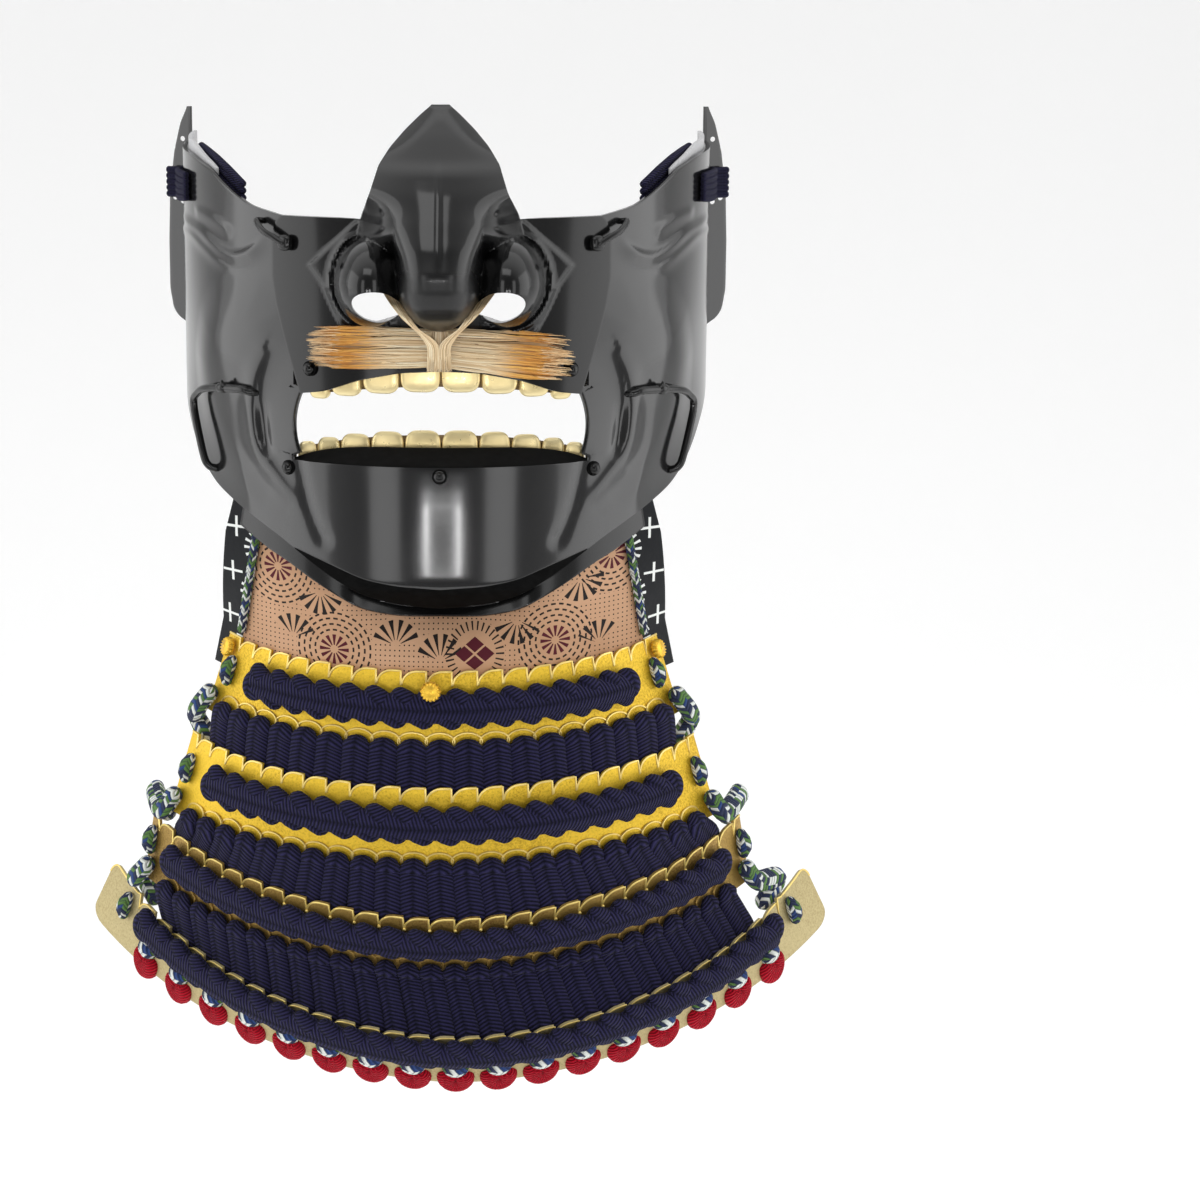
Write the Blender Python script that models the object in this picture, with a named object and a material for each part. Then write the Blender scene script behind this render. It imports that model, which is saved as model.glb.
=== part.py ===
"""Half mask with nose, moustache and gilt teeth, and a laced throat guard of four lames.

Lengths are in millimetres and are scaled to metres when a mesh is made. The wearer looks along -Y,
+Z is up and the origin is the seat of the chin, on the inner face of the chin plate.
"""
import math

import bmesh
import bpy
import numpy as np
from mathutils import Vector

MM = 0.001
GAP = 0.3

# Mask shell: an oval plate in plan, open at the back, turned up to the ears
PLATE = 1.6
HALF_WIDTH = 87.0
SHELL_DEPTH = 88.0
BEND_TURN = 97.0
MOUTH_HALF = 45.7
LIP_Z = 24.0
LEDGE_DEPTH = 12.0
NOTCH_HALF = 41.6
JAW_LINE = [(0, -22), (9, -20.5), (16, -17.5), (26, -9), (35, -1), (42, 3.5), (49, 7.5), (57, 12), (64, 18),
            (74, 29), (84, 37), (97, 44)]
BROW_LINE = [(0, 99), (33, 98.5), (44, 101.5), (50, 105.5), (59, 112), (70, 115.5), (97, 118)]
EAR_RISE = [5.5, 11.0]
EAR_EDGE = [(60, 91.5), (68, 94.2), (100, 93.8), (114, 92.0), (123.5, 89.6), (129, 87.4)]
CHIN_FRONT = [(-23, 4.5), (-20, 1), (-11, -5), (6, -7), (24, -6), (46, -3), (60, -1.5), (99, 2)]

# Nose plate: the removable front plate with the nose
PLATE_BOTTOM = [(0, 56), (12, 55.5), (25, 52), (36, 46.5), (44, 45)]
PLATE_EDGE = [(45, 43.5), (62, 49), (80, 52.5), (92, 52.5), (99, 49.5)]
NOSE_RIDGE = [(62, -5), (67, -9), (70, -22), (76, -33), (85, -38), (93, -34.5), (100, -30), (115, -20),
              (124, -9), (130, 0), (133, 4)]
NOSE_BASE_HALF = [(60, 20), (67, 25), (76, 30), (85, 30), (93, 27), (100, 24), (115, 17.5), (124, 11.5),
                  (130, 6), (133, 3)]
NOSE_RIDGE_HALF = [(60, 8), (67, 8), (76, 10), (85, 12), (93, 12), (100, 10.5), (115, 7.5), (124, 4.5),
                   (130, 2.2), (133, 1.0)]
NOSE_BACK = [(60, -2), (99, 3), (115, 3.5), (133, 6)]

# Lames: half width at the top corner, half arc in degrees, depth, front y, top z, rise of the ends, tilt at
# the front and at the ends, fan angle, height, roll centre, lacing start, number of tabs, share of the width
# with tabs and sideways shift
LAMES = [
    dict(half=69.5, arc=60, deep=41, front=-2.0, top=-41.3, rise=3.0, tilt=0, tilt_end=-13, fan=12, high=27,
         roll=10.8, lace=21.0, tabs=19, tab_span=0.90, shift=0.0),
    dict(half=82.0, arc=58, deep=46, front=-9.5, top=-77.0, rise=6.0, tilt=8, tilt_end=-12, fan=12, high=28,
         roll=11.0, lace=23.0, tabs=23, tab_span=0.95, shift=0.0),
    dict(half=97.0, arc=55, deep=55, front=-12.8, top=-118.6, rise=18.5, tilt=25, tilt_end=-4, fan=12, high=23,
         roll=8.0, lace=17.5, tabs=27, tab_span=0.96, shift=1.0),
    dict(half=106.0, arc=50, deep=55, front=-11.6, top=-158.4, rise=28.0, tilt=30, tilt_end=-4, fan=18, high=21.5,
         roll=6.2, lace=0.0, tabs=30, tab_span=1.0, shift=5.0),
]
RISE_POWER = 1.75
LAME_PLATE = 1.2
TAB_HIGH = 3.4
ROLL_HIGH = 5.6
ROLL_DEEP = 3.1
CORD_DEEP = 3.2
CORDS = [19, 23, 28]
END_TAB = 17.0
HEM_LOOPS = 17
LOOP_SHARE = 0.76

LEATHER = 1.4
LEATHER_TURN = 46.0
RIM_DROP = 8.5
RIM_PLATE = 1.4
RIM_SEAT = PLATE + GAP + 1.8
CORD_RADIUS = 1.5
LOOP_RADIUS = 2.6
BAR_RADIUS = 1.25
BAR_STAND = 3.4
HOOK_RADIUS = 1.0
RIVET_RADIUS = 1.6
STUD_RADIUS = 3.2
SIDES = (-1, 1)
SIDE_NAMES = {-1: "left", 1: "right"}

BLACK = ("black lacquer", (0.012, 0.012, 0.014), 0.22, 0.0)
BLACK_IRON = ("black iron", (0.010, 0.010, 0.012), 0.30, 0.3)
GOLD = ("gilt lame", (0.78, 0.52, 0.07), 0.42, 0.8)
TEETH = ("gilt teeth", (0.80, 0.66, 0.30), 0.30, 0.8)
NAVY = ("navy cord", (0.018, 0.018, 0.060), 0.85, 0.0)
RED = ("red cord", (0.52, 0.004, 0.022), 0.80, 0.0)
SPECKLED = ("speckled cord", (0.22, 0.30, 0.28), 0.85, 0.0)
TAN = ("tan leather", (0.58, 0.36, 0.21), 0.85, 0.0)
DARK_LEATHER = ("black leather", (0.02, 0.024, 0.030), 0.70, 0.0)
GREY_LEATHER = ("grey leather", (0.55, 0.55, 0.56), 0.75, 0.0)
HAIR = ("tan hair", (0.62, 0.40, 0.20), 0.70, 0.0)


def along(table, value):
    """Straight-line reading of a short table of (place, value) pairs."""
    return float(np.interp(value, [row[0] for row in table], [row[1] for row in table]))


def unit(vector):
    return vector / np.linalg.norm(vector)


def clear_scene():
    for item in list(bpy.data.objects):
        bpy.data.objects.remove(item, do_unlink=True)


def material(look):
    name, colour, rough, metal = look
    found = bpy.data.materials.get(name)
    if found:
        return found
    found = bpy.data.materials.new(name)
    found.use_nodes = True
    shader = found.node_tree.nodes["Principled BSDF"]
    shader.inputs["Base Color"].default_value = (*colour, 1.0)
    shader.inputs["Roughness"].default_value = rough
    shader.inputs["Metallic"].default_value = metal
    found.diffuse_color = (*colour, 1.0)
    return found


def make(name, shape, look):
    """One object from a bmesh in millimetres, with its faces turned outward."""
    bmesh.ops.recalc_face_normals(shape, faces=shape.faces)
    for corner in shape.verts:
        corner.co *= MM
    mesh = bpy.data.meshes.new(name)
    shape.to_mesh(mesh)
    shape.free()
    mesh.shade_smooth()
    mesh.set_sharp_from_angle(angle=math.radians(35))
    mesh.materials.append(material(look))
    thing = bpy.data.objects.new(name, mesh)
    bpy.context.collection.objects.link(thing)
    return thing


def sheet(name, outer, inner, look, keep=None):
    """A closed solid between two grids of points; keep says which cells it has."""
    rows, columns = outer.shape[:2]
    shape = bmesh.new()
    corners = {}

    def corner(side, i, j):
        if (side, i, j) not in corners:
            corners[side, i, j] = shape.verts.new((outer, inner)[side][i, j])
        return corners[side, i, j]

    kept = {(i, j) for i in range(rows - 1) for j in range(columns - 1) if keep is None or keep(i, j)}
    for i, j in kept:
        ring = [(i, j), (i + 1, j), (i + 1, j + 1), (i, j + 1)]
        shape.faces.new([corner(0, *place) for place in ring])
        shape.faces.new([corner(1, *place) for place in reversed(ring)])
        for (start, end), beside in zip(zip(ring, ring[1:] + ring[:1]),
                                        [(i, j - 1), (i + 1, j), (i, j + 1), (i - 1, j)]):
            if beside not in kept:
                shape.faces.new([corner(0, *end), corner(0, *start), corner(1, *start), corner(1, *end)])
    bmesh.ops.triangulate(shape, faces=shape.faces)
    return make(name, shape, look)


def grid_normals(points):
    """Unit normals of a grid of points, from the differences across each point."""
    down = np.gradient(points, axis=0)
    across = np.gradient(points, axis=1)
    normals = np.cross(down, across)
    return normals / np.linalg.norm(normals, axis=2, keepdims=True)


def sweep(name, path, high, deep, look, sides=8, up=(0, 0, 1), shares=None):
    """A closed tube along a path, with an oval section: high along up, deep across it."""
    path = [np.array(point, float) for point in path]
    shape = bmesh.new()
    rings = []
    for index, point in enumerate(path):
        ahead = path[min(index + 1, len(path) - 1)] - path[max(index - 1, 0)]
        across = unit(np.cross(ahead, up[index] if isinstance(up, list) else np.array(up, float)))
        upward = unit(np.cross(across, ahead))
        share = shares[index] if shares else 1.0
        ring = []
        for side in range(sides):
            turn = 2 * math.pi * (side + 0.5) / sides
            offset = upward * high * share * math.sin(turn) + across * deep * share * math.cos(turn)
            ring.append(shape.verts.new(point + offset))
        rings.append(ring)
    for first, second in zip(rings, rings[1:]):
        for side in range(sides):
            after = (side + 1) % sides
            shape.faces.new([first[side], first[after], second[after], second[side]])
    shape.faces.new(list(reversed(rings[0])))
    shape.faces.new(rings[-1])
    bmesh.ops.triangulate(shape, faces=shape.faces)
    return make(name, shape, look)


def smooth_path(points, steps):
    """Points of a Catmull-Rom curve through the route's own points."""
    points = [np.array(point, float) for point in points]
    points = [2 * points[0] - points[1], *points, 2 * points[-1] - points[-2]]
    route = []
    for a, b, c, d in zip(points, points[1:], points[2:], points[3:]):
        for step in range(steps):
            t = step / steps
            route.append(0.5 * (2 * b + (c - a) * t + (2 * a - 5 * b + 4 * c - d) * t * t
                                + (3 * b - a - 3 * c + d) * t ** 3))
    route.append(points[-2])
    return route


def dome(name, centre, outward, profile, look, sides=9):
    """A round piece turned about outward; profile holds (radius, height) pairs from the seat up."""
    outward = unit(np.array(outward, float))
    across = unit(np.cross(outward, (0.1, 0.2, 1.0)))
    beside = np.cross(outward, across)
    shape = bmesh.new()
    rings = []
    for radius, height in profile:
        rings.append([shape.verts.new(np.array(centre) + outward * height
                                      + radius * (across * math.cos(2 * math.pi * side / sides)
                                                  + beside * math.sin(2 * math.pi * side / sides)))
                      for side in range(sides)])
    for first, second in zip(rings, rings[1:]):
        for side in range(sides):
            after = (side + 1) % sides
            shape.faces.new([first[side], first[after], second[after], second[side]])
    shape.faces.new(list(reversed(rings[0])))
    shape.faces.new(rings[-1])
    return make(name, shape, look)


def blob(name, centre, axes, look):
    """An oval knot; axes are its three half axes as vectors."""
    shape = bmesh.new()
    bmesh.ops.create_uvsphere(shape, u_segments=7, v_segments=5, radius=1.0)
    for corner in shape.verts:
        corner.co = Vector(np.array(centre) + sum(np.array(axis) * share for axis, share in zip(axes, corner.co)))
    bmesh.ops.triangulate(shape, faces=shape.faces)
    return make(name, shape, look)


def shell_point(turn, z, out=0.0):
    """A point of the mask's outer face: turn in degrees from the front, out along the plan's normal."""
    angle = math.radians(turn)
    front = along(CHIN_FRONT, z)
    normal = unit(np.array([SHELL_DEPTH * math.sin(angle), -HALF_WIDTH * math.cos(angle), 0.0]))
    bulge = 2.6 * math.exp(-((abs(turn) - 54) / 13) ** 2 - ((z - 56) / 20) ** 2)
    return np.array([HALF_WIDTH * math.sin(angle),
                     SHELL_DEPTH * (1 - math.cos(angle)) + front * max(math.cos(angle), 0) ** 2,
                     z]) + normal * (bulge + out)


def turn_at(x):
    return math.degrees(math.asin(x / HALF_WIDTH))


def mask_shell():
    """Cheeks, jaw, lower lip and the bent-back strips before the ears, as one plate."""
    mouth, notch = turn_at(MOUTH_HALF), turn_at(NOTCH_HALF)
    half = [0, 8, 16, notch, mouth, 38, 46, 54, 62, 70, 78, 86, 92, BEND_TURN, "middle", "edge"]
    turns = [item if isinstance(item, str) else -item for item in reversed(half)] + half[1:]
    middle = len(half) - 1
    low = [0.0, 0.25, 0.6, 1.0]
    high = [0.06, 0.15, 0.293, 0.5, 0.75, 1.0]
    rows = []
    for row in range(len(low) + len(high) + len(EAR_RISE)):
        line = []
        for index, turn in enumerate(turns):
            side = 1 if index > middle else -1
            place = BEND_TURN if isinstance(turn, str) else abs(turn)
            bottom, top = along(JAW_LINE, place), along(BROW_LINE, place)
            lip = LIP_Z + max(place - mouth, 0) / (BEND_TURN - mouth) * 36.0
            ledge = ledge_back(place) / LEDGE_DEPTH
            back = 0.0
            if row < len(low):
                z = bottom + low[row] * (lip - bottom)
            elif row < len(low) + len(high):
                z = lip + high[row - len(low)] * (top - lip)
                if row == len(low):
                    z = lip + 3.0 + 4.0 * ledge + max(place - mouth, 0) * 0.04
                    back = LEDGE_DEPTH * ledge
            else:
                z = top + EAR_RISE[row - len(low) - len(high)]
            if place == mouth and row >= len(low) and row < len(low) + 3:
                place = turn_at(MOUTH_HALF - 2.7 * ((z - 35) / 11) ** 2)
            point = shell_point(side * place, z)
            point[1] += back
            if isinstance(turn, str):
                edge = along(EAR_EDGE, z)
                share = 1.0 if turn == "edge" else 0.5
                stretch = (edge - abs(point[0])) * share
                point[0] += side * stretch
                point[1] += 0.6 * stretch
                if row == len(low) - 1 and turn == "edge":
                    point[2] += 2.5
            line.append(point)
        rows.append(line)
    outer = np.array(rows)
    normals = grid_normals(outer)
    if np.dot(normals[1, middle], (0, -1, 0)) < 0:
        normals = -normals
    inner = outer - normals * PLATE

    def keep(i, j):
        first, second = turns[j], turns[j + 1]
        flange = isinstance(first, str) or isinstance(second, str)
        if flange:
            return i >= len(low) - 1
        if i >= len(low) + len(high) - 1:
            return False
        place = max(abs(first), abs(second))
        if i >= len(low) and place <= notch + 0.01:
            return False
        return not (len(low) <= i < len(low) + 2 and place <= mouth + 0.01)

    return sheet("mask_shell", outer, inner, BLACK, keep)


def throat_rim():
    """The dark turned rim that shows below the jaw at both sides."""
    turns = np.linspace(-50, 50, 17)
    outer, inner = [], []
    for lift, out in ((5.0, 0.0), (-2.0, 0.0), (-RIM_DROP, 1.4)):
        outer_row, inner_row = [], []
        for turn in turns:
            drop = 1.0 if lift > 0 else 0.35 + 0.65 * min(abs(turn) / 40, 1)
            z = along(JAW_LINE, abs(turn)) + lift * drop
            level = max(z, along(JAW_LINE, abs(turn)))
            point = shell_point(turn, level, out - RIM_SEAT)
            point[2] = z
            behind = shell_point(turn, level, out - RIM_SEAT - RIM_PLATE)
            behind[2] = z
            if lift < 0:
                shift = 1.5 * (1 - min(abs(turn) / 30, 1))
                point[1] += shift
                behind[1] += shift
            outer_row.append(point)
            inner_row.append(behind)
        outer.append(outer_row)
        inner.append(inner_row)
    return sheet("throat_rim", np.array(outer), np.array(inner), BLACK_IRON)


def plate_point(x, z, out=0.0):
    """A point of the nose plate's base face, just outside the shell."""
    return shell_point(turn_at(x), z, PLATE + GAP + 0.7 + out)


def nose_plate():
    """The removable front plate: a curved plate drawn out into the nose, with two open nostrils."""
    heights = [None, 61, 66, 70, 78, 82, 87, 93, 99, 107, 115, 124, 130, 133]
    rows = []
    for height in heights:
        line = []
        level = 60 if height is None else height
        base, ridge = along(NOSE_BASE_HALF, level), along(NOSE_RIDGE_HALF, level)
        edge = along(PLATE_EDGE, min(level, 99)) if height else 43.5
        mid = 0.45 * ridge + 0.55 * base
        if level in (70, 78):
            mid, ridge = 21.5, 9.0
        stations = [edge, (2 * edge + base) / 3, (edge + 2 * base) / 3, base, mid, ridge]
        for index, x in enumerate([-x for x in stations] + [0.0] + stations[::-1]):
            z = height if height else along(PLATE_BOTTOM, abs(x))
            kind = min(index, 12 - index)
            point = plate_point(x, min(z, 99))
            point[0], point[2] = x, z
            if z > 99:
                point[1] = along(NOSE_BACK, z)
            top = along(NOSE_RIDGE, level)
            if kind >= 5 and level > 66:
                point[1] = top
            elif kind == 4 and level > 66:
                share = 0.62 if 70 < level < 90 else 0.5
                point[1] += share * (top - point[1])
            elif kind == 3 and 66 < level < 93:
                point[1] -= 3.0
            line.append(point)
        rows.append(line)
    outer = np.array(rows)
    normals = grid_normals(outer)
    if np.dot(normals[0, 6], (0, -1, 0)) < 0:
        normals = -normals
    inner = outer - normals * PLATE

    def keep(i, j):
        kind = min(j, 11 - j)
        if heights[i] is not None and heights[i] >= 99 and kind < 3:
            return False
        return not (heights[i] == 70 and kind == 4)

    return sheet("nose_plate", outer, inner, BLACK, keep)


def teeth(name, count, half, bottom, top, front, deep, swell):
    """A row of teeth as one strip; each tooth is a rounded bump of it."""
    stations, shares = [-1.0], [0.0]
    for tooth in range(count):
        for share, full in ((0.28, 1.0), (0.72, 1.0), (1.0, 0.0)):
            stations.append(-1 + 2 * (tooth + share) / count)
            shares.append(full)
    outer, inner = [], []
    for step in (0.0, 0.16, 1.0) if swell < 0 else (0.0, 0.84, 1.0):
        outer_row, inner_row = [], []
        for s, share in zip(stations, shares):
            low, high = bottom(s), top(s)
            rounding = 1.0 * (1 - share)
            z = low + (high - low) * step
            z += rounding if step < 0.1 and swell < 0 else 0.0
            z -= rounding if step > 0.9 and swell > 0 else 0.0
            face = 0.9 * share * (1.0 if 0.1 < step < 0.9 else 0.3)
            y = front(half * s)
            outer_row.append((half * s, y - face, z))
            inner_row.append((half * s, y + deep, z))
        outer.append(outer_row)
        inner.append(inner_row)
    return sheet(name, np.array(outer), np.array(inner), TEETH)


def ledge_back(turn):
    """How far the lower lip's ledge runs back into the mouth."""
    return LEDGE_DEPTH * max(1 - (abs(turn) / turn_at(MOUTH_HALF)) ** 4, 0.0)


def upper_teeth():
    return teeth("upper_teeth", 8, 40.4, lambda s: 46.8 - 2.2 * s * s, lambda s: 59.0 - 10.5 * s * s,
                 lambda x: plate_point(x, 52.0, 0.0)[1] + PLATE + 1.9, 2.2, -1)


def lower_teeth():
    return teeth("lower_teeth", 10, 43.0, lambda s: 26.0 - 0.5 * s * s, lambda s: 33.6 - 1.2 * s * s,
                 lambda x: shell_point(turn_at(x), 31.0)[1] + ledge_back(turn_at(x)) + PLATE + 1.6, 2.0, 1)


def moustache():
    """A flat bundle of hair laid across the upper lip."""
    stations = [-1, -0.93, -0.7, -0.4, -0.12, 0.12, 0.4, 0.7, 0.93, 1]
    thick = [1.2, 3.0, 4.2, 4.0, 3.2, 3.2, 4.0, 4.2, 3.0, 1.2]
    tall = [5.4, 6.3, 6.4, 6.0, 4.8, 4.8, 6.0, 6.4, 6.3, 5.4]
    outer, inner = [], []
    for across in (-1.0, -0.6, 0.0, 0.6, 1.0):
        outer_row, inner_row = [], []
        for s, deep, high in zip(stations, thick, tall):
            centre = 60.3 - (2.4 * s if s > 0 else -0.6 * s) - 1.0 * s * s
            z = centre + across * high
            seat = plate_point(37.0 * s, z, GAP + 0.35 + (0.9 if z > 61 else 0.5))
            swell = deep * (1 - 0.75 * across * across)
            outer_row.append(seat + (0, -swell, 0))
            inner_row.append(seat)
        outer.append(outer_row)
        inner.append(inner_row)
    return sheet("moustache", np.array(outer), np.array(inner), HAIR)


def lame_frame(index, s):
    """Top point of a lame, with its tangent, plan normal, down direction and face normal, at s from -1 to 1."""
    lame = LAMES[index]
    arc = math.radians(lame["arc"])
    angle = s * arc
    deep = lame["deep"] / (1 - math.cos(arc))
    wide = lame["half"] / math.sin(arc)
    top = np.array([wide * math.sin(angle) + lame["shift"], lame["front"] + deep * (1 - math.cos(angle)),
                    lame["top"] + lame["rise"] * abs(s) ** RISE_POWER])
    ahead = np.array([wide * math.cos(angle), deep * math.sin(angle), 0.0])
    ahead[2] = RISE_POWER * lame["rise"] * math.copysign(abs(s) ** (RISE_POWER - 1), s) / arc
    tangent = unit(ahead)
    outward = unit(np.array([ahead[1], -ahead[0], 0.0]))
    tilt = math.radians(lame["tilt"] + (lame["tilt_end"] - lame["tilt"]) * s * s)
    fan = math.radians(lame["fan"]) * s
    down = unit(np.array([0, 0, -math.cos(tilt)]) - outward * math.sin(tilt) + tangent * math.sin(fan))
    face = unit(np.cross(down, tangent))
    if np.dot(face, outward) < 0:
        face = -face
    return top, tangent, outward, down, face


def lame_point(index, s, down=0.0, out=0.0):
    top, _, _, downward, face = lame_frame(index, s)
    return top + downward * down + face * out


def lame(index):
    """A gilt plate with a row of tabs along its top; the last one has a plain tab at each end."""
    data = LAMES[index]
    stations = []
    step = 2 * data["tab_span"] / data["tabs"]
    if data["tab_span"] < 1:
        stations += [(-1.0, -0.6), (-data["tab_span"] - 0.012, -0.6)]
    for tab in range(data["tabs"]):
        start = -data["tab_span"] + tab * step
        for share, drop in ((0.03, 1.0), (0.34, 0.15), (0.92, 0.0)):
            stations.append((start + share * step, TAB_HIGH * drop))
    if data["tab_span"] < 1:
        stations += [(data["tab_span"] + 0.012, -0.6), (1.0, -0.6)]
    else:
        reach = END_TAB / (data["half"] * 1.05)
        stations = ([(-1 - reach, 3.5), (-1 - 0.82 * reach, -0.5), (-1 - 0.1 * reach, -0.5)] + stations
                    + [(1 + 0.1 * reach, -0.5), (1 + 0.82 * reach, -0.5), (1 + reach, 3.5)])
    outer, inner = [], []
    for row in range(2):
        outer_row, inner_row = [], []
        for s, drop in stations:
            high = data["high"] - (3.0 if abs(s) > 1 + 0.9 * END_TAB / (data["half"] * 1.05) else 0)
            down = (drop, high)[row]
            outer_row.append(lame_point(index, s, down))
            inner_row.append(lame_point(index, s, down, -LAME_PLATE))
        outer.append(outer_row)
        inner.append(inner_row)
    return sheet(f"lame_{index + 1}", np.array(outer), np.array(inner), GOLD)


def roll(index):
    """The thick navy cord laid in slanting lumps along a lame."""
    data = LAMES[index]
    lumps = data["tabs"] + 5
    span = data["tab_span"] - 0.035 if data["tab_span"] < 1 else 0.955
    path, ups, shares = [], [], []
    for step in range(lumps + 1):
        s = -span + 2 * span * step / lumps
        path.append(lame_point(index, s, data["roll"], GAP + ROLL_DEEP + 0.15))
        ups.append(-lame_frame(index, s)[3])
        shares.append(0.72 if step in (0, lumps) else (1.0 if step % 2 else 0.93))
    return sweep(f"roll_{index + 1}", path, ROLL_HIGH, ROLL_DEEP, NAVY, sides=6, up=ups, shares=shares)


def lacing(index):
    """The row of upright cords from one lame down behind the tabs of the next, as one ribbed sheet."""
    above, below = LAMES[index], LAMES[index + 1]
    count = CORDS[index]
    stations, ribs = [], []
    for cord in range(count):
        for share, rib in ((0.0, 0.0), (0.5, 1.0)):
            stations.append(-1 + 2 * (cord + share) / count)
            ribs.append(rib)
    stations.append(1.0)
    ribs.append(0.0)
    span_above, span_below = 0.92, 0.92
    outer, inner = [], []
    for row in range(4):
        outer_row, inner_row = [], []
        for s, rib in zip(stations, ribs):
            if row < 2:
                down = (above["lace"] + 1.6 * (1 - rib), above["high"] + 1.0)[row]
                deep = CORD_DEEP * (0.75 + 0.25 * rib) * (0.55 if row == 0 else 1.0)
                seat = lame_point(index, s * span_above, down, GAP + 0.05)
                front = lame_point(index, s * span_above, down, GAP + 0.05 + deep)
            else:
                down = (-5.0 * (1 - s * s) + 0.8 * s * s, 4.5)[row - 2]
                deep = CORD_DEEP * (0.75 + 0.25 * rib)
                seat_out = -(LAME_PLATE + GAP + 0.05)
                front = lame_point(index + 1, s * span_below, down, seat_out)
                seat = lame_point(index + 1, s * span_below, down, seat_out - deep)
            outer_row.append(front)
            inner_row.append(seat)
        outer.append(outer_row)
        inner.append(inner_row)
    return sheet(f"lacing_{index + 1}", np.array(outer), np.array(inner), NAVY)


def hem_columns():
    """Stations along the last lame's hem, with the loop's fullness, and the cells that lie under a loop."""
    stations, fullness, loops = [], [], []
    pitch = 2 * 0.985 / (HEM_LOOPS - 1 + LOOP_SHARE)
    for loop in range(HEM_LOOPS):
        start = -0.985 + loop * pitch
        for share, full in ((0.0, 0.4), (0.5, 1.0), (1.0, 0.4)):
            stations.append(start + share * LOOP_SHARE * pitch)
            fullness.append(full)
        loops += [True, True, False]
    return stations, fullness, loops[:-1]


def hem_solid(name, outer_rows, inner_rows, look, rail):
    """A comb along the hem: one tooth for each loop, joined by the rail, which is one row of cells."""
    stations, fullness, loops = hem_columns()
    grids = []
    for rows in (outer_rows, inner_rows):
        grid = []
        for row, (down, out) in enumerate(rows):
            line = []
            for s, full in zip(stations, fullness):
                if rows is outer_rows:
                    seat_down, seat_out = inner_rows[row]
                    place = (seat_down + (down - seat_down) * full, seat_out + (out - seat_out) * full)
                else:
                    place = (down, out)
                line.append(lame_point(3, s, place[0], place[1]))
            grid.append(line)
        grids.append(np.array(grid))
    return sheet(name, grids[0], grids[1], look, lambda i, j: loops[j] or i == rail)


def hem_cords():
    """Red cords looped round the hem of the last lame, with the speckled cord between them and the roll."""
    high = LAMES[3]["high"]
    back = -LAME_PLATE
    hem_solid("hem_lacing_red",
              [(high - 7.0, 3.4), (high - 3.5, 5.0), (high + 2.6, 4.2), (high + 3.2, back - 2.4),
               (high - 1.0, back - 3.4), (high - 5.0, back - 3.2)],
              [(high - 6.8, GAP), (high - 3.5, GAP), (high + GAP, GAP), (high + GAP, back - GAP),
               (high - 1.0, back - GAP), (high - 5.0, back - GAP)], RED, 4)
    hem_solid("hem_lacing_speckled",
              [(high - 10.5, 1.1), (high - 9.5, 1.8), (high - 7.4, 3.6)],
              [(high - 10.5, GAP), (high - 9.5, GAP), (high - 7.4, GAP)], SPECKLED, 0)


def leather_point(turn, row):
    """A point of the throat leather's outer face: rows are its top, below the rim, above and behind lame 1."""
    jaw = along(JAW_LINE, abs(turn))
    top = shell_point(turn, jaw, -(RIM_SEAT + RIM_PLATE + GAP))
    top[2] = jaw + 2.0
    top[1] += 1.5 * (1 - min(abs(turn) / 30, 1))
    s = turn / LEATHER_TURN * 0.93
    if row == 0:
        return top
    if row == 1:
        return np.array([top[0], top[1], jaw - 1.2 - RIM_DROP * (0.35 + 0.65 * min(abs(turn) / 40, 1))])
    return lame_point(0, s, (-3.5, 12.0)[row - 2], -(LAME_PLATE + GAP))


def leather_inward(point):
    return unit(np.array([-point[0] * 0.9, 60 - point[1], 0.0]))


def throat_leather():
    """The printed leather that hangs from the jaw rim to the first lame."""
    outer = np.array([[leather_point(turn, row) for turn in np.linspace(-LEATHER_TURN, LEATHER_TURN, 15)]
                      for row in range(4)])
    inner = np.array([[point + leather_inward(point) * LEATHER for point in row] for row in outer])
    return sheet("throat_leather", outer, inner, TAN)


def side_leathers():
    """The dark leathers that carry on behind the throat leather's side edges, and the braids on those edges."""
    for side in SIDES:
        outer, inner, braid = [], [], []
        for row, (reach, angle) in enumerate(((13.5, 38), (17.0, 36), (21.0, 58.5), (20.0, 60))):
            edge = leather_point(side * LEATHER_TURN, row)
            inward = leather_inward(edge)
            beside = np.array([side * math.cos(math.radians(angle)), math.sin(math.radians(angle)), 0.0])
            seat = edge + inward * (LEATHER + GAP + 0.7)
            outer.append([seat - beside * 1.2, seat + beside * 0.5 * reach, seat + beside * reach])
            inner.append([point + inward * 1.1 for point in outer[-1]])
            braid.append(edge - inward * (CORD_RADIUS + GAP + 0.1) - beside * 1.2)
        sheet(f"side_leather_{SIDE_NAMES[side]}", np.array(outer), np.array(inner), DARK_LEATHER)
        sweep(f"edge_braid_{SIDE_NAMES[side]}", [braid[1], 0.5 * (braid[1] + braid[2]), braid[2]],
              CORD_RADIUS, CORD_RADIUS, SPECKLED, sides=6, up=(1, 0, 0))


def cheek_bars():
    """The bent rods that stand off from the cheeks and hold the mask's cord."""
    stand = GAP + BAR_STAND
    for side in SIDES:
        route = [(41.0, 43.6, GAP), (41.8, 44.0, 0.7 * stand), (44.0, 44.6, stand), (53.5, 43.4, stand),
                 (59.0, 40.6, stand), (61.5, 36.0, stand), (58.0, 21.5, stand), (57.0, 17.6, 0.7 * stand),
                 (56.6, 16.6, GAP)]
        path = smooth_path([shell_point(side * turn, z, out) for turn, z, out in route], 2)
        sweep(f"cheek_bar_{SIDE_NAMES[side]}", path, BAR_RADIUS, BAR_RADIUS, BLACK_IRON, sides=6, up=(0, 0.3, 1))


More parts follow.
